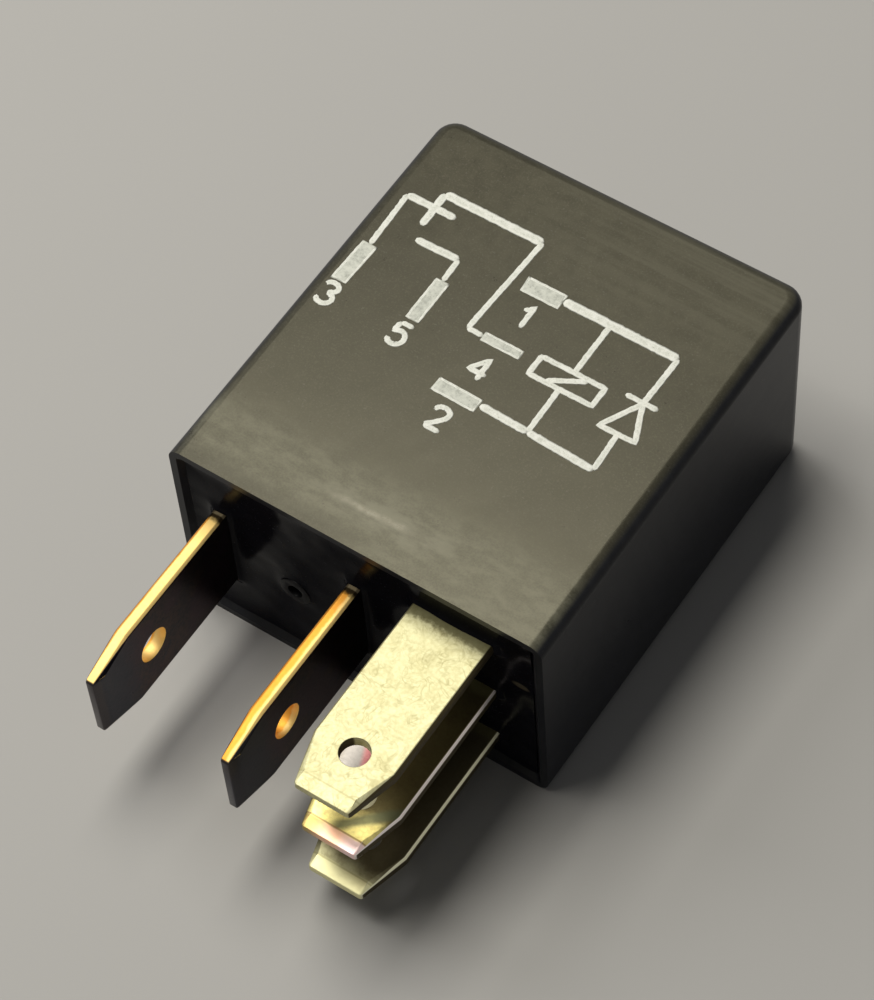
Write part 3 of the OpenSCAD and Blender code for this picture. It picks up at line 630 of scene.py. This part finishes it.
def thinInk(look):  # the fill of the bars
    f = Finish("thinInk")
    patchy = f.noise(2.6, 4, 0.65, shift=(1, 8, 0))
    fine = f.noise(9, 3, 0.6)
    tone = f.mix(f.rise(patchy, 0.3, 0.7), *look["fill"])
    worn = f.rise(fine * 0.6 + patchy * 0.5, 0.56, 0.72)
    tone = f.mix(worn * 0.5, tone, look["fillWorn"])
    return f.shader(Base_Color=tone, Roughness=f.spread(fine, *look["rough"]),
                    Normal=f.bump(fine, look["grainDepth"]))


finishes = {
    "cover": coverPlastic(coverFinish),
    "epoxy": glossyEpoxy(epoxyFinish),
    "ink": whiteInk(inkFinish),
    "thinInk": thinInk(inkFinish),
    "pale1": brass("paleBrass1", paleBrass),
    "pale4": brass("paleBrass4", middleBrass),
    "pale2": brass("paleBrass2", lowestBrass),
    "gold3": brass("goldBrass3", {**goldBrass, "edgeLine": -8.64}),
    "gold5": brass("goldBrass5", {**goldBrass, "edgeLine": -0.02}),
    # name, two tones, metal, roughness, scale and depth of the surface
    "base": plain("baseNylon", (0.005, 0.005, 0.006), (0.010, 0.010, 0.011), rough=(0.30, 0.42),
                  extra={"Specular_IOR_Level": 0.10}),
    "steel": plain("nickelledSteel", (0.60, 0.60, 0.58), (0.50, 0.50, 0.49), 1.0, (0.24, 0.38), 1.5, 0.003),
    "rivet": plain("rivetSteel", (0.66, 0.66, 0.66), (0.54, 0.54, 0.55), 1.0, (0.20, 0.34), 3.0, 0.003),
    "nylon": plain("bobbinNylon", (0.66, 0.62, 0.50), (0.58, 0.54, 0.42), 0.0, (0.38, 0.52), 1.2, 0.006,
                   extra={"Subsurface_Weight": 0.05}),
    "copper": plain("enamelledCopper", (0.58, 0.20, 0.07), (0.44, 0.13, 0.045), 0.85, (0.22, 0.34), 1.5,
                    0.003),
    "bronze": plain("springBronze", (0.80, 0.50, 0.27), (0.70, 0.40, 0.20), 1.0, (0.22, 0.34), 1.2, 0.002,
                    stretch=(0.2, 1, 4)),
    "silver": plain("contactSilver", (0.86, 0.85, 0.81), (0.72, 0.70, 0.66), 1.0, (0.24, 0.42), 3.0),
    "diode": plain("diodeEpoxy", (0.014, 0.014, 0.015), (0.026, 0.026, 0.027), 0.0, (0.34, 0.48), 3.0),
    "tinned": plain("tinnedLead", (0.74, 0.74, 0.75), (0.60, 0.60, 0.62), 1.0, (0.26, 0.42), 3.0, 0.003),
    "solder": plain("solderJoint", (0.70, 0.70, 0.72), (0.54, 0.54, 0.57), 1.0, (0.18, 0.36), 2.5, 0.006),
}
print("materials made:", len(finishes))


cover = {
    "wall": 0.8,
    "edgeRadius": 0.8, "cornerRadius": 1.25,  # long edges, and the corners of the closed end
    "innerRadius": 0.25,
    "roundSteps": 7,
    "rimChamfer": 0.35,
}


def coverSkin(name, low, high, corner, radius):  # a box with rounded edges, open towards the blades
    bevel = {"offset_type": "OFFSET", "segments": cover["roundSteps"], "profile": 0.5, "affect": "EDGES"}
    skin = addBox(name, low, high)
    pick(skin, "EDGE", lambda place, run: place.y > high[1] - tiny and abs(run.x) < tiny)
    bpy.ops.mesh.bevel(offset=corner * mm, **bevel)
    middle = (low[2] + high[2]) / 2
    pick(skin, "EDGE", lambda place, run: abs(run.z) < tiny and place.y > low[1] + tiny
         and abs(abs(place.z - middle) - (high[2] - low[2]) / 2) < tiny)
    bpy.ops.mesh.bevel(offset=radius * mm, **bevel)
    pick(skin, "FACE", lambda place, normal: normal.y < -0.99 and place.y < low[1] + tiny)
    bpy.ops.mesh.delete(type="FACE")
    bpy.ops.object.mode_set(mode="OBJECT")
    return skin


def makeCover():
    low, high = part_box("cover")
    high = Vector((high.x, high.y, high.z - inkRoom * mm))
    wall, rim = cover["wall"] * mm, cover["rimChamfer"] * mm
    outer = coverSkin("outer", low, high, cover["cornerRadius"], cover["edgeRadius"])
    innerLow = Vector((low.x + wall, low.y + rim, low.z + wall))
    innerHigh = Vector((high.x - wall, high.y - wall, high.z - wall))
    inner = coverSkin("inner", innerLow, innerHigh, cover["innerRadius"], cover["innerRadius"])
    pick(inner, "FACE", anywhere)
    bpy.ops.mesh.flip_normals()
    pick(inner, "EDGE", lambda place, run: place.y < innerLow.y + tiny and abs(run.y) < tiny)
    bpy.ops.mesh.extrude_edges_move(TRANSFORM_OT_translate={"value": (0, -rim, 0)})
    flareX, flareZ = ((a + 2 * rim) / a for a in (innerHigh.x - innerLow.x, innerHigh.z - innerLow.z))
    middle = ((low.x + high.x) / 2, low.y, (low.z + high.z) / 2)
    bpy.ops.transform.resize(value=(flareX, 1, flareZ), center_override=middle)
    bpy.ops.object.mode_set(mode="OBJECT")
    can = joined([outer, inner], "cover_can")
    pick(can, "EDGE", lambda place, run: place.y < low.y + tiny and abs(run.y) < tiny)
    bpy.ops.mesh.bridge_edge_loops()
    bpy.ops.object.mode_set(mode="OBJECT")
    smooth(can, 32)
    applyModifier(can, "WEIGHTED_NORMAL", keep_sharp=True)
    dress(can, finishes["cover"], stands=["cover"])


makeCover()
print("cover made")

seal = {
    "level": 0.36,  # below the open end
    "wallClimb": 0.10, "wallReach": 0.45,
    "bladeClimb": 0.26, "bladeReach": 0.30,
    "ventClimb": 0.10, "ventReach": 0.22,
    "wave": 0.10, "waveScale": 0.34, "waveSeed": 1.3,
    "ripple": 0.02, "rippleScale": 0.9, "rippleSeed": 6.1,
    "highest": 0.05, "lowest": 0.60,
    "bottom": 0.99, "fit": 0.01,
    "step": 0.13,
    "slotFrom": -1, "slotTo": 2, "ventLength": 6, "ventSides": 64,  # the cutters
}
pins = {  # centre x, centre z, size x, size z
    "terminal_1": (5.8, 4.35, 4.8, 0.8),
    "terminal_2": (5.8, -4.35, 4.8, 0.8),
    "terminal_3": (-8.5, 0.0, 0.8, 6.3),
    "terminal_4": (5.8, 0.0, 4.8, 0.8),
    "terminal_5": (-0.2, 0.0, 0.8, 6.3),
}
vent = {"x": -4.3, "z": -1.1, "diameter": 1.9}


def outsideOf(x, z, pin):  # distance from a pin's section
    centreX, centreZ, sizeX, sizeZ = pin
    dx, dz = abs(x - centreX) - sizeX / 2, abs(z - centreZ) - sizeZ / 2
    return math.hypot(max(dx, 0), max(dz, 0))


def sealDepth(x, z, halfX, halfZ):  # the resin climbs on all that it touches
    toWall = min(halfX - abs(x), halfZ - abs(z))
    toPin = min(outsideOf(x, z, pin) for pin in pins.values())
    toVent = abs(math.hypot(x - vent["x"], z - vent["z"]) - vent["diameter"] / 2)
    depth = seal["level"]
    for kind, distance in (("wall", toWall), ("blade", toPin), ("vent", toVent)):
        depth -= seal[kind + "Climb"] * math.exp(-distance / seal[kind + "Reach"])
    for kind in ("wave", "ripple"):
        scale = seal[kind + "Scale"]
        depth += seal[kind] * noise.noise(Vector((x * scale, seal[kind + "Seed"], z * scale)))
    return min(max(depth, seal["highest"]), seal["lowest"])


def sealCutters():  # the blades' slots and the vent
    gap, front, back = seal["fit"], seal["slotFrom"], seal["slotTo"]
    cutters = []
    for x, z, sizeX, sizeZ in pins.values():
        low = ((x - sizeX / 2 - gap) * mm, front * mm, (z - sizeZ / 2 - gap) * mm)
        high = ((x + sizeX / 2 + gap) * mm, back * mm, (z + sizeZ / 2 + gap) * mm)
        cutters.append(addBox("slot", low, high))
    clearAll()
    bpy.ops.mesh.primitive_cylinder_add(vertices=seal["ventSides"], depth=seal["ventLength"] * mm,
                                        radius=(vent["diameter"] / 2 + gap) * mm,
                                        location=(vent["x"] * mm, 0, vent["z"] * mm),
                                        rotation=(math.radians(90), 0, 0))
    cutters.append(bpy.context.object)
    settle(cutters[-1])
    return joined(cutters, "slots")


def makeSeal():
    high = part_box("cover")[1] / mm
    halfX, halfZ = (round(half - cover["wall"] - seal["fit"], 2) for half in (high.x, high.z))
    clearAll()
    bpy.ops.mesh.primitive_grid_add(x_subdivisions=round(2 * halfX / seal["step"]),
                                    y_subdivisions=round(2 * halfZ / seal["step"]), size=1)
    pour = bpy.context.object
    pour.name = pour.data.name = "epoxy_seal"
    pour.scale = (2 * halfX * mm, 2 * halfZ * mm, 1)
    pour.rotation_euler = (math.radians(90), 0, 0)
    settle(pour)
    pick(pour, "FACE", anywhere)
    bpy.ops.mesh.extrude_region_move(TRANSFORM_OT_translate={"value": (0, seal["bottom"] * mm, 0)})
    bpy.ops.mesh.select_all(action="SELECT")
    bpy.ops.mesh.normals_make_consistent(inside=False)
    bpy.ops.object.mode_set(mode="OBJECT")
    for vertex in pour.data.vertices:
        if vertex.co.y < tiny:
            vertex.co.y = sealDepth(vertex.co.x / mm, vertex.co.z / mm, halfX, halfZ) * mm
    cutter = sealCutters()
    applyModifier(pour, "BOOLEAN", object=cutter, operation="DIFFERENCE", solver="EXACT")
    bpy.data.objects.remove(cutter)
    smooth(pour, 40)
    dress(pour, finishes["epoxy"], stands=["seal"])


makeSeal()
print("seal made")

terminals = {
    "edgeRound": 0.05,
    "roundFrom": 0.5,  # edges that don't reach this far out of the cover stay as they are
    "looks": {  # finish and slot
        "terminal_1": ("pale1", "pale_brass"),
        "terminal_2": ("pale2", "pale_brass"),
        "terminal_4": ("pale4", "pale_brass"),
        "terminal_3": ("gold3", "yellow_brass"),
        "terminal_5": ("gold5", "yellow_brass"),
    },
}


def bladeCopy(node, name):
    # a merged copy whose outer edges are rounded; its broad faces are split through the hole
    piece = mergedCopy(node, name)
    x, z, sizeX, sizeZ = pins[node]
    bpy.ops.mesh.bisect(plane_co=(x * mm, 0, z * mm), plane_no=(1, 0, 0) if sizeX > sizeZ else (0, 0, 1))
    bpy.ops.mesh.mark_seam(clear=False)
    bpy.ops.mesh.select_all(action="SELECT")
    bpy.ops.mesh.dissolve_limited(angle_limit=math.radians(meshing["flat"]), delimit={"SEAM"})
    bpy.ops.mesh.select_all(action="DESELECT")
    bpy.ops.mesh.select_mode(type="EDGE")
    bpy.ops.mesh.edges_select_sharp(sharpness=math.radians(meshing["edge"]))
    bpy.ops.object.mode_set(mode="OBJECT")
    vertices = piece.data.vertices
    for edge in piece.data.edges:
        if edge.select and min(vertices[i].co.y for i in edge.vertices) > -terminals["roundFrom"] * mm:
            edge.select = False
    bpy.ops.object.mode_set(mode="EDIT")
    bpy.ops.mesh.bevel(offset=terminals["edgeRound"] * mm, offset_type="OFFSET", profile=0.5, affect="EDGES",
                       segments=meshing["roundSteps"], clamp_overlap=False, miter_outer="ARC")
    bpy.ops.mesh.select_all(action="SELECT")
    bpy.ops.mesh.remove_doubles(threshold=tiny)
    bpy.ops.object.mode_set(mode="OBJECT")
    smooth(piece)
    applyModifier(piece, "WEIGHTED_NORMAL", keep_sharp=True)
    return piece


for node, (finish, slot) in terminals["looks"].items():
    dress(bladeCopy(node, "blade_" + node), finishes[finish], stands=[node])
print("terminals made")

innerPieces = {
    # node: piece, finish, slot, edge round, body
    "base": ("base_plate", "base", "base_plastic", 0.06, "relay"),
    "yoke": ("yoke_bent", "steel", "plated_steel", 0.08, "relay"),
    "core": ("core_turned", "steel", "plated_steel", 0.05, "relay"),
    "bobbin": ("bobbin_moulded", "nylon", "bobbin_plastic", 0.08, "relay"),
    "armature": ("armature_plate", "steel", "plated_steel", 0.06, "armature"),
    "armature_rivets": ("armature_rivet_pair", "rivet", "rivet_steel", 0.04, "armature"),
    "spring_rivets": ("spring_rivet_pair", "rivet", "rivet_steel", 0.04, "relay"),
    "moving_contact": ("moving_contact_rivet", "silver", "contact_silver", 0.04, "armature"),
    "make_contact": ("make_contact_rivet", "silver", "contact_silver", 0.04, "relay"),
    "break_contact": ("break_contact_rivet", "silver", "contact_silver", 0.04, "relay"),
    "diode_body": ("diode_moulding", "diode", "diode_epoxy", 0.08, "relay"),
    "diode_leads": ("diode_wires", "tinned", "tinned_lead", 0.0, "relay"),
    "coil_leads": ("coil_wires", "copper", "enamelled_copper", 0.0, "relay"),
    "solder_joints": ("solder_fillets", "solder", "solder", 0.0, "relay"),
}
for node, (name, finish, slot, width, body) in innerPieces.items():
    dress(roundedCopy(node, name, width), finishes[finish], body, [node])

winding = {
    "wire": 0.15, "wander": 0.012, "seed": 5, "segments": 40, "sides": 6,
    # shares of the wire: how deep the body and the turns' centres lie, a turn's radius, the bare ends
    "bodyDepth": 0.6, "turnDepth": 0.58, "turnRadius": 0.52, "bareEnd": 2.2,
    "woundFrom": 0.8,  # what lies further out than this share of the radius is shrunk
}


def makeWinding():
    # a body with one wire turn beside the other on it; the axis runs along Y
    body = roundedCopy("winding", "winding_body", 0.0)
    low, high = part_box("winding")
    middle, half = (low + high) / 2, (high.x - low.x) / 2
    wire = winding["wire"] * mm
    edge = half * winding["woundFrom"]
    pick(body, "VERT", lambda place, normal: math.hypot(place.x - middle.x, place.z - middle.z) > edge)
    shrink = 1 - wire * winding["bodyDepth"] / half
    bpy.ops.transform.resize(value=(shrink, 1, shrink), center_override=middle)
    bpy.ops.object.mode_set(mode="OBJECT")
    clearAll()
    bpy.ops.mesh.primitive_torus_add(major_segments=winding["segments"], minor_segments=winding["sides"],
                                     major_radius=half - wire * winding["turnDepth"],
                                     minor_radius=wire * winding["turnRadius"],
                                     location=(middle.x, low.y, middle.z), rotation=(math.radians(90), 0, 0))
    turn = bpy.context.object
    settle(turn)
    smooth(turn, 80)
    draw = random.Random(winding["seed"])
    first, last = low.y + wire * winding["bareEnd"], high.y - wire * winding["bareEnd"]
    count = round((last - first) / wire)
    turns = [turn] + [bpy.data.objects.new("turn", turn.data.copy()) for i in range(count)]
    for i, piece in enumerate(turns):
        if i:
            bpy.context.scene.collection.objects.link(piece)
        wander = draw.uniform(-1, 1) * winding["wander"] * mm
        piece.location.y = first - low.y + (last - first) * i / count + wander
        settle(piece)
    return joined([body] + turns, "winding_turns")


dress(makeWinding(), finishes["copper"], stands=["winding"])
print("winding made")

springPiece = roundedCopy("contact_spring", "contact_leaf", 0.0)
dress(springPiece, finishes["bronze"], None, ["contact_spring"])
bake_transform(springPiece)
print("inner pieces made:", len(innerPieces) + 2)

circuitPrint = {
    "proud": 0.015, "step": 0.16, "seed": 11,
    "jitter": 0.08, "jitterWidth": 0.4,  # lines wider than this are less uneven
    "wander": 0.012,
    "blunt": 0.1,  # round ends stay this much of their radius short of a full round
    "swell": 1.25,  # room for the widest places
    "closing": 1e-7,  # metres; merges what is open at a ribbon's ends
    "fine": 0.35, "medium": 0.48, "bold": 0.59,  # line widths
    "columns": {"pin3": -9.7, "arm": -8.1, "pin5": -5.15, "drop": -2.1,
                "barLeft": -1.5, "barRight": 0.85, "coil": 3.65, "diode": 7.65},
    "rows": {"change": 20.65, "common": 19.6, "supply": 18.1, "make": 17.45, "pinTop": 15.9,
             "break": 14.1, "pinFoot": 13.0, "return": 10.4},
    "lean": 0.15, "slip": 0.05,  # the tall lines aren't quite upright, and ends don't quite meet
    "armReach": (1.25, 1.3), "makeGap": 0.25, "returnReach": 0.45,
    "coilSize": (3.8, 1.25), "coilMiddle": 14.0,
    "diodeSize": (2.1, 2.2), "diodeTop": 14.85,
    "barRim": 0.16,
    "barWidths": {"pin3": 0.95, "pin5": 0.85, "supply": 1.02, "break": 0.62, "return": 0.90},
    "numbers": [("3", -9.8, 12.15), ("5", -5.2, 11.95), ("1", -0.25, 16.25),
                ("4", -0.5, 12.35), ("2", -0.6, 8.7)],
    "numberStroke": 0.33,
}
numerals = {  # strokes of plain round numbers, 1.45 high
    "1": [[(-0.38, 0.36), (-0.12, 0.45), (0.06, 0.72), (0.06, -0.72)]],
    "2": [[(-0.46, 0.36), (-0.38, 0.6), (-0.02, 0.72), (0.36, 0.58), (0.42, 0.24), (0.1, -0.16),
           (-0.46, -0.68)],
          [(-0.46, -0.7), (0.48, -0.7)]],
    "3": [[(-0.42, 0.5), (-0.2, 0.7), (0.16, 0.7), (0.4, 0.5), (0.34, 0.2), (-0.05, 0.06)],
          [(-0.02, 0.06), (0.42, -0.1), (0.46, -0.46), (0.16, -0.7), (-0.2, -0.7), (-0.46, -0.46)]],
    "4": [[(0.2, -0.72), (0.2, 0.7), (-0.52, -0.28), (0.5, -0.28)]],
    "5": [[(0.44, 0.68), (-0.3, 0.68)],
          [(-0.3, 0.68), (-0.4, 0.02)],
          [(-0.4, 0.02), (-0.1, 0.22), (0.26, 0.16), (0.46, -0.18), (0.34, -0.58), (0.0, -0.72),
           (-0.28, -0.66), (-0.46, -0.44)]],
}


def routeAlong(points):  # the same way in short steps
    route = []
    for a, b in zip(points, points[1:]):
        a, b = Vector(a), Vector(b)
        count = max(2, round((b - a).length / circuitPrint["step"]))
        route += [a.lerp(b, i / count) for i in range(count)]
    return route + [Vector(points[-1])]


def inkRibbon(points, width, roundEnds, draw):  # a low domed ribbon whose edges are a little uneven
    wander, blunt = circuitPrint["wander"], circuitPrint["blunt"]
    steadier = min(1, circuitPrint["jitterWidth"] / width)
    clearAll()
    bpy.ops.curve.primitive_nurbs_path_add()
    ribbon = bpy.context.object
    curve = ribbon.data
    curve.splines.clear()
    curve.bevel_depth, curve.bevel_resolution, curve.use_fill_caps = width / 2 * mm, 2, True
    route = routeAlong(points)
    spline = curve.splines.new("POLY")
    spline.points.add(len(route) - 1)
    length = sum((b - a).length for a, b in zip(route, route[1:]))
    gone = 0.0
    for i, place in enumerate(route):
        if i:
            gone += (place - route[i - 1]).length
        x, y = place.x + draw.uniform(-wander, wander), place.y + draw.uniform(-wander, wander)
        radius = 1 + draw.uniform(-1, 1) * circuitPrint["jitter"] * steadier
        if roundEnds:
            toEnd = min(gone, length - gone) / (width / 2)
            radius *= math.sqrt(1 - max(0, 1 - toEnd - blunt) ** 2)
        spline.points[i].co = (x * mm, y * mm, 0, 1)
        spline.points[i].radius = radius
    only(ribbon)
    bpy.ops.object.convert(target="MESH")
    ribbon = bpy.context.object
    pick(ribbon, "VERT", anywhere)
    bpy.ops.mesh.remove_doubles(threshold=circuitPrint["closing"])
    bpy.ops.object.mode_set(mode="OBJECT")
    ribbon.scale.z = circuitPrint["proud"] / (width / 2) / circuitPrint["swell"]
    ribbon.location.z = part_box("cover")[1].z - inkRoom * mm
    settle(ribbon)
    return ribbon


def rounded(points, times=2):  # cuts the corners of a stroke
    for _ in range(times):
        cut = [points[0]]
        for a, b in zip(points, points[1:]):
            a, b = Vector(a), Vector(b)
            cut += [a.lerp(b, 0.25), a.lerp(b, 0.75)]
        points = cut + [points[-1]]
    return points


def around(points, width):  # the outline of a bar
    a, b = (Vector(p) for p in points)
    inset = circuitPrint["barRim"] / 2
    along = (b - a).normalized()
    side = Vector((-along.y, along.x)) * (width / 2 - inset)
    a, b = a + along * inset, b - along * inset
    return [a + side, b + side, b - side, a - side, a + side]


def contactLines(look, x, y):  # the changeover contact, left; points and width of each line
    fine, medium, bold, lean, slip = (look[key] for key in ("fine", "medium", "bold", "lean", "slip"))
    reach, drop = look["armReach"]
    commonEnd = x["pin3"] - lean, y["common"]
    armTop = x["arm"] - lean / 2, y["change"]
    dropTop, dropFoot = (x["drop"], y["change"]), (x["drop"] - lean * 2.2, y["break"])
    makeEnd = x["pin5"] - lean / 2, y["make"]
    return [
        ([(x["pin3"], y["pinTop"]), commonEnd], fine),
        ([commonEnd, (x["arm"] + reach, y["common"])], medium),
        ([(x["arm"], y["common"] - drop), armTop], medium),
        ([armTop, dropTop], bold),
        ([dropTop, dropFoot], fine),
        ([dropFoot, (x["barLeft"], y["break"])], fine),
        ([(x["arm"] + look["makeGap"], y["make"] - slip), makeEnd], medium),
        ([makeEnd, (x["pin5"], y["pinTop"])], fine),
    ]


def coilLines(look, x, y):  # the coil with the diode across it, right
    fine, medium, bold, lean, slip = (look[key] for key in ("fine", "medium", "bold", "lean", "slip"))
    wide, high = (size / 2 for size in look["coilSize"])
    coil, diode, middle = x["coil"], x["diode"], look["coilMiddle"]
    left, right, top, foot = coil - wide, coil + wide, middle + high, middle - high
    half, tall = look["diodeSize"][0] / 2, look["diodeSize"][1]
    tip, tail = (diode, look["diodeTop"]), look["diodeTop"] - tall
    corner = diode + lean / 2, y["supply"]
    joint, farJoint = (coil, y["return"] - slip), (diode, y["return"] - lean * 1.5)
    return [
        ([(x["barRight"], y["supply"]), corner], bold),
        ([corner, tip], fine),
        ([farJoint, (diode - 2 * slip, tail)], fine),
        ([(coil + slip, y["supply"]), (coil + slip, top)], fine),
        ([(coil - slip, foot), joint], fine),
        ([(x["barRight"] - 2 * slip, y["return"] + slip), joint], medium),
        ([joint, farJoint], medium),
        ([(left, top), (right, top), (right, foot), (left, foot), (left, top + 2 * slip)], fine),
        ([(coil - wide / 2, foot + 2 * slip), (coil, middle), (coil + wide / 2, top - 2 * slip)], fine),
        ([(diode - half, tip[1] + slip), (diode + half - 4 * slip, tip[1] + slip)], fine),
        ([tip, (diode - half - lean, tail - slip), (diode + half - lean, tail), tip], fine),
    ]


def pinBars(look, x, y):  # the pins' bars, with their widths
    width, lean, slip = look["barWidths"], look["lean"], look["slip"]
    left, right = x["barLeft"], x["barRight"]
    return [
        ([(x["pin3"], y["pinTop"]), (x["pin3"] - 2 * slip, y["pinFoot"] + 2 * slip)], width["pin3"]),
        ([(x["pin5"], y["pinTop"]), (x["pin5"], y["pinFoot"])], width["pin5"]),
        ([(left, y["supply"] - 2 * slip), (right, y["supply"] - 2 * slip)], width["supply"]),
        ([(left, y["break"]), (right, y["break"])], width["break"]),
        ([(left - look["returnReach"], y["return"]), (right - lean, y["return"] - slip)], width["return"]),
    ]


def makePrint():
    look = circuitPrint
    draw = random.Random(look["seed"])
    places = look["columns"], look["rows"]
    strokes, bars = contactLines(look, *places) + coilLines(look, *places), pinBars(look, *places)
    lines = [inkRibbon(points, width, True, draw) for points, width in strokes]
    lines += [inkRibbon(around(points, width), look["barRim"], False, draw) for points, width in bars]
    dress(joined(lines, "circuit_lines"), finishes["ink"])
    fills = [inkRibbon(points, width, False, draw) for points, width in bars]
    dress(joined(fills, "pin_bars"), finishes["thinInk"])
    numbers = []
    for text, x, y in look["numbers"]:
        for stroke in numerals[text]:
            path = [(x + dx, y + dy) for dx, dy in stroke]
            path = rounded(path) if len(path) > 4 else path
            numbers.append(inkRibbon(path, look["numberStroke"], True, draw))
    dress(joined(numbers, "pin_numbers"), finishes["ink"])


makePrint()
print("print made")

clearAll()
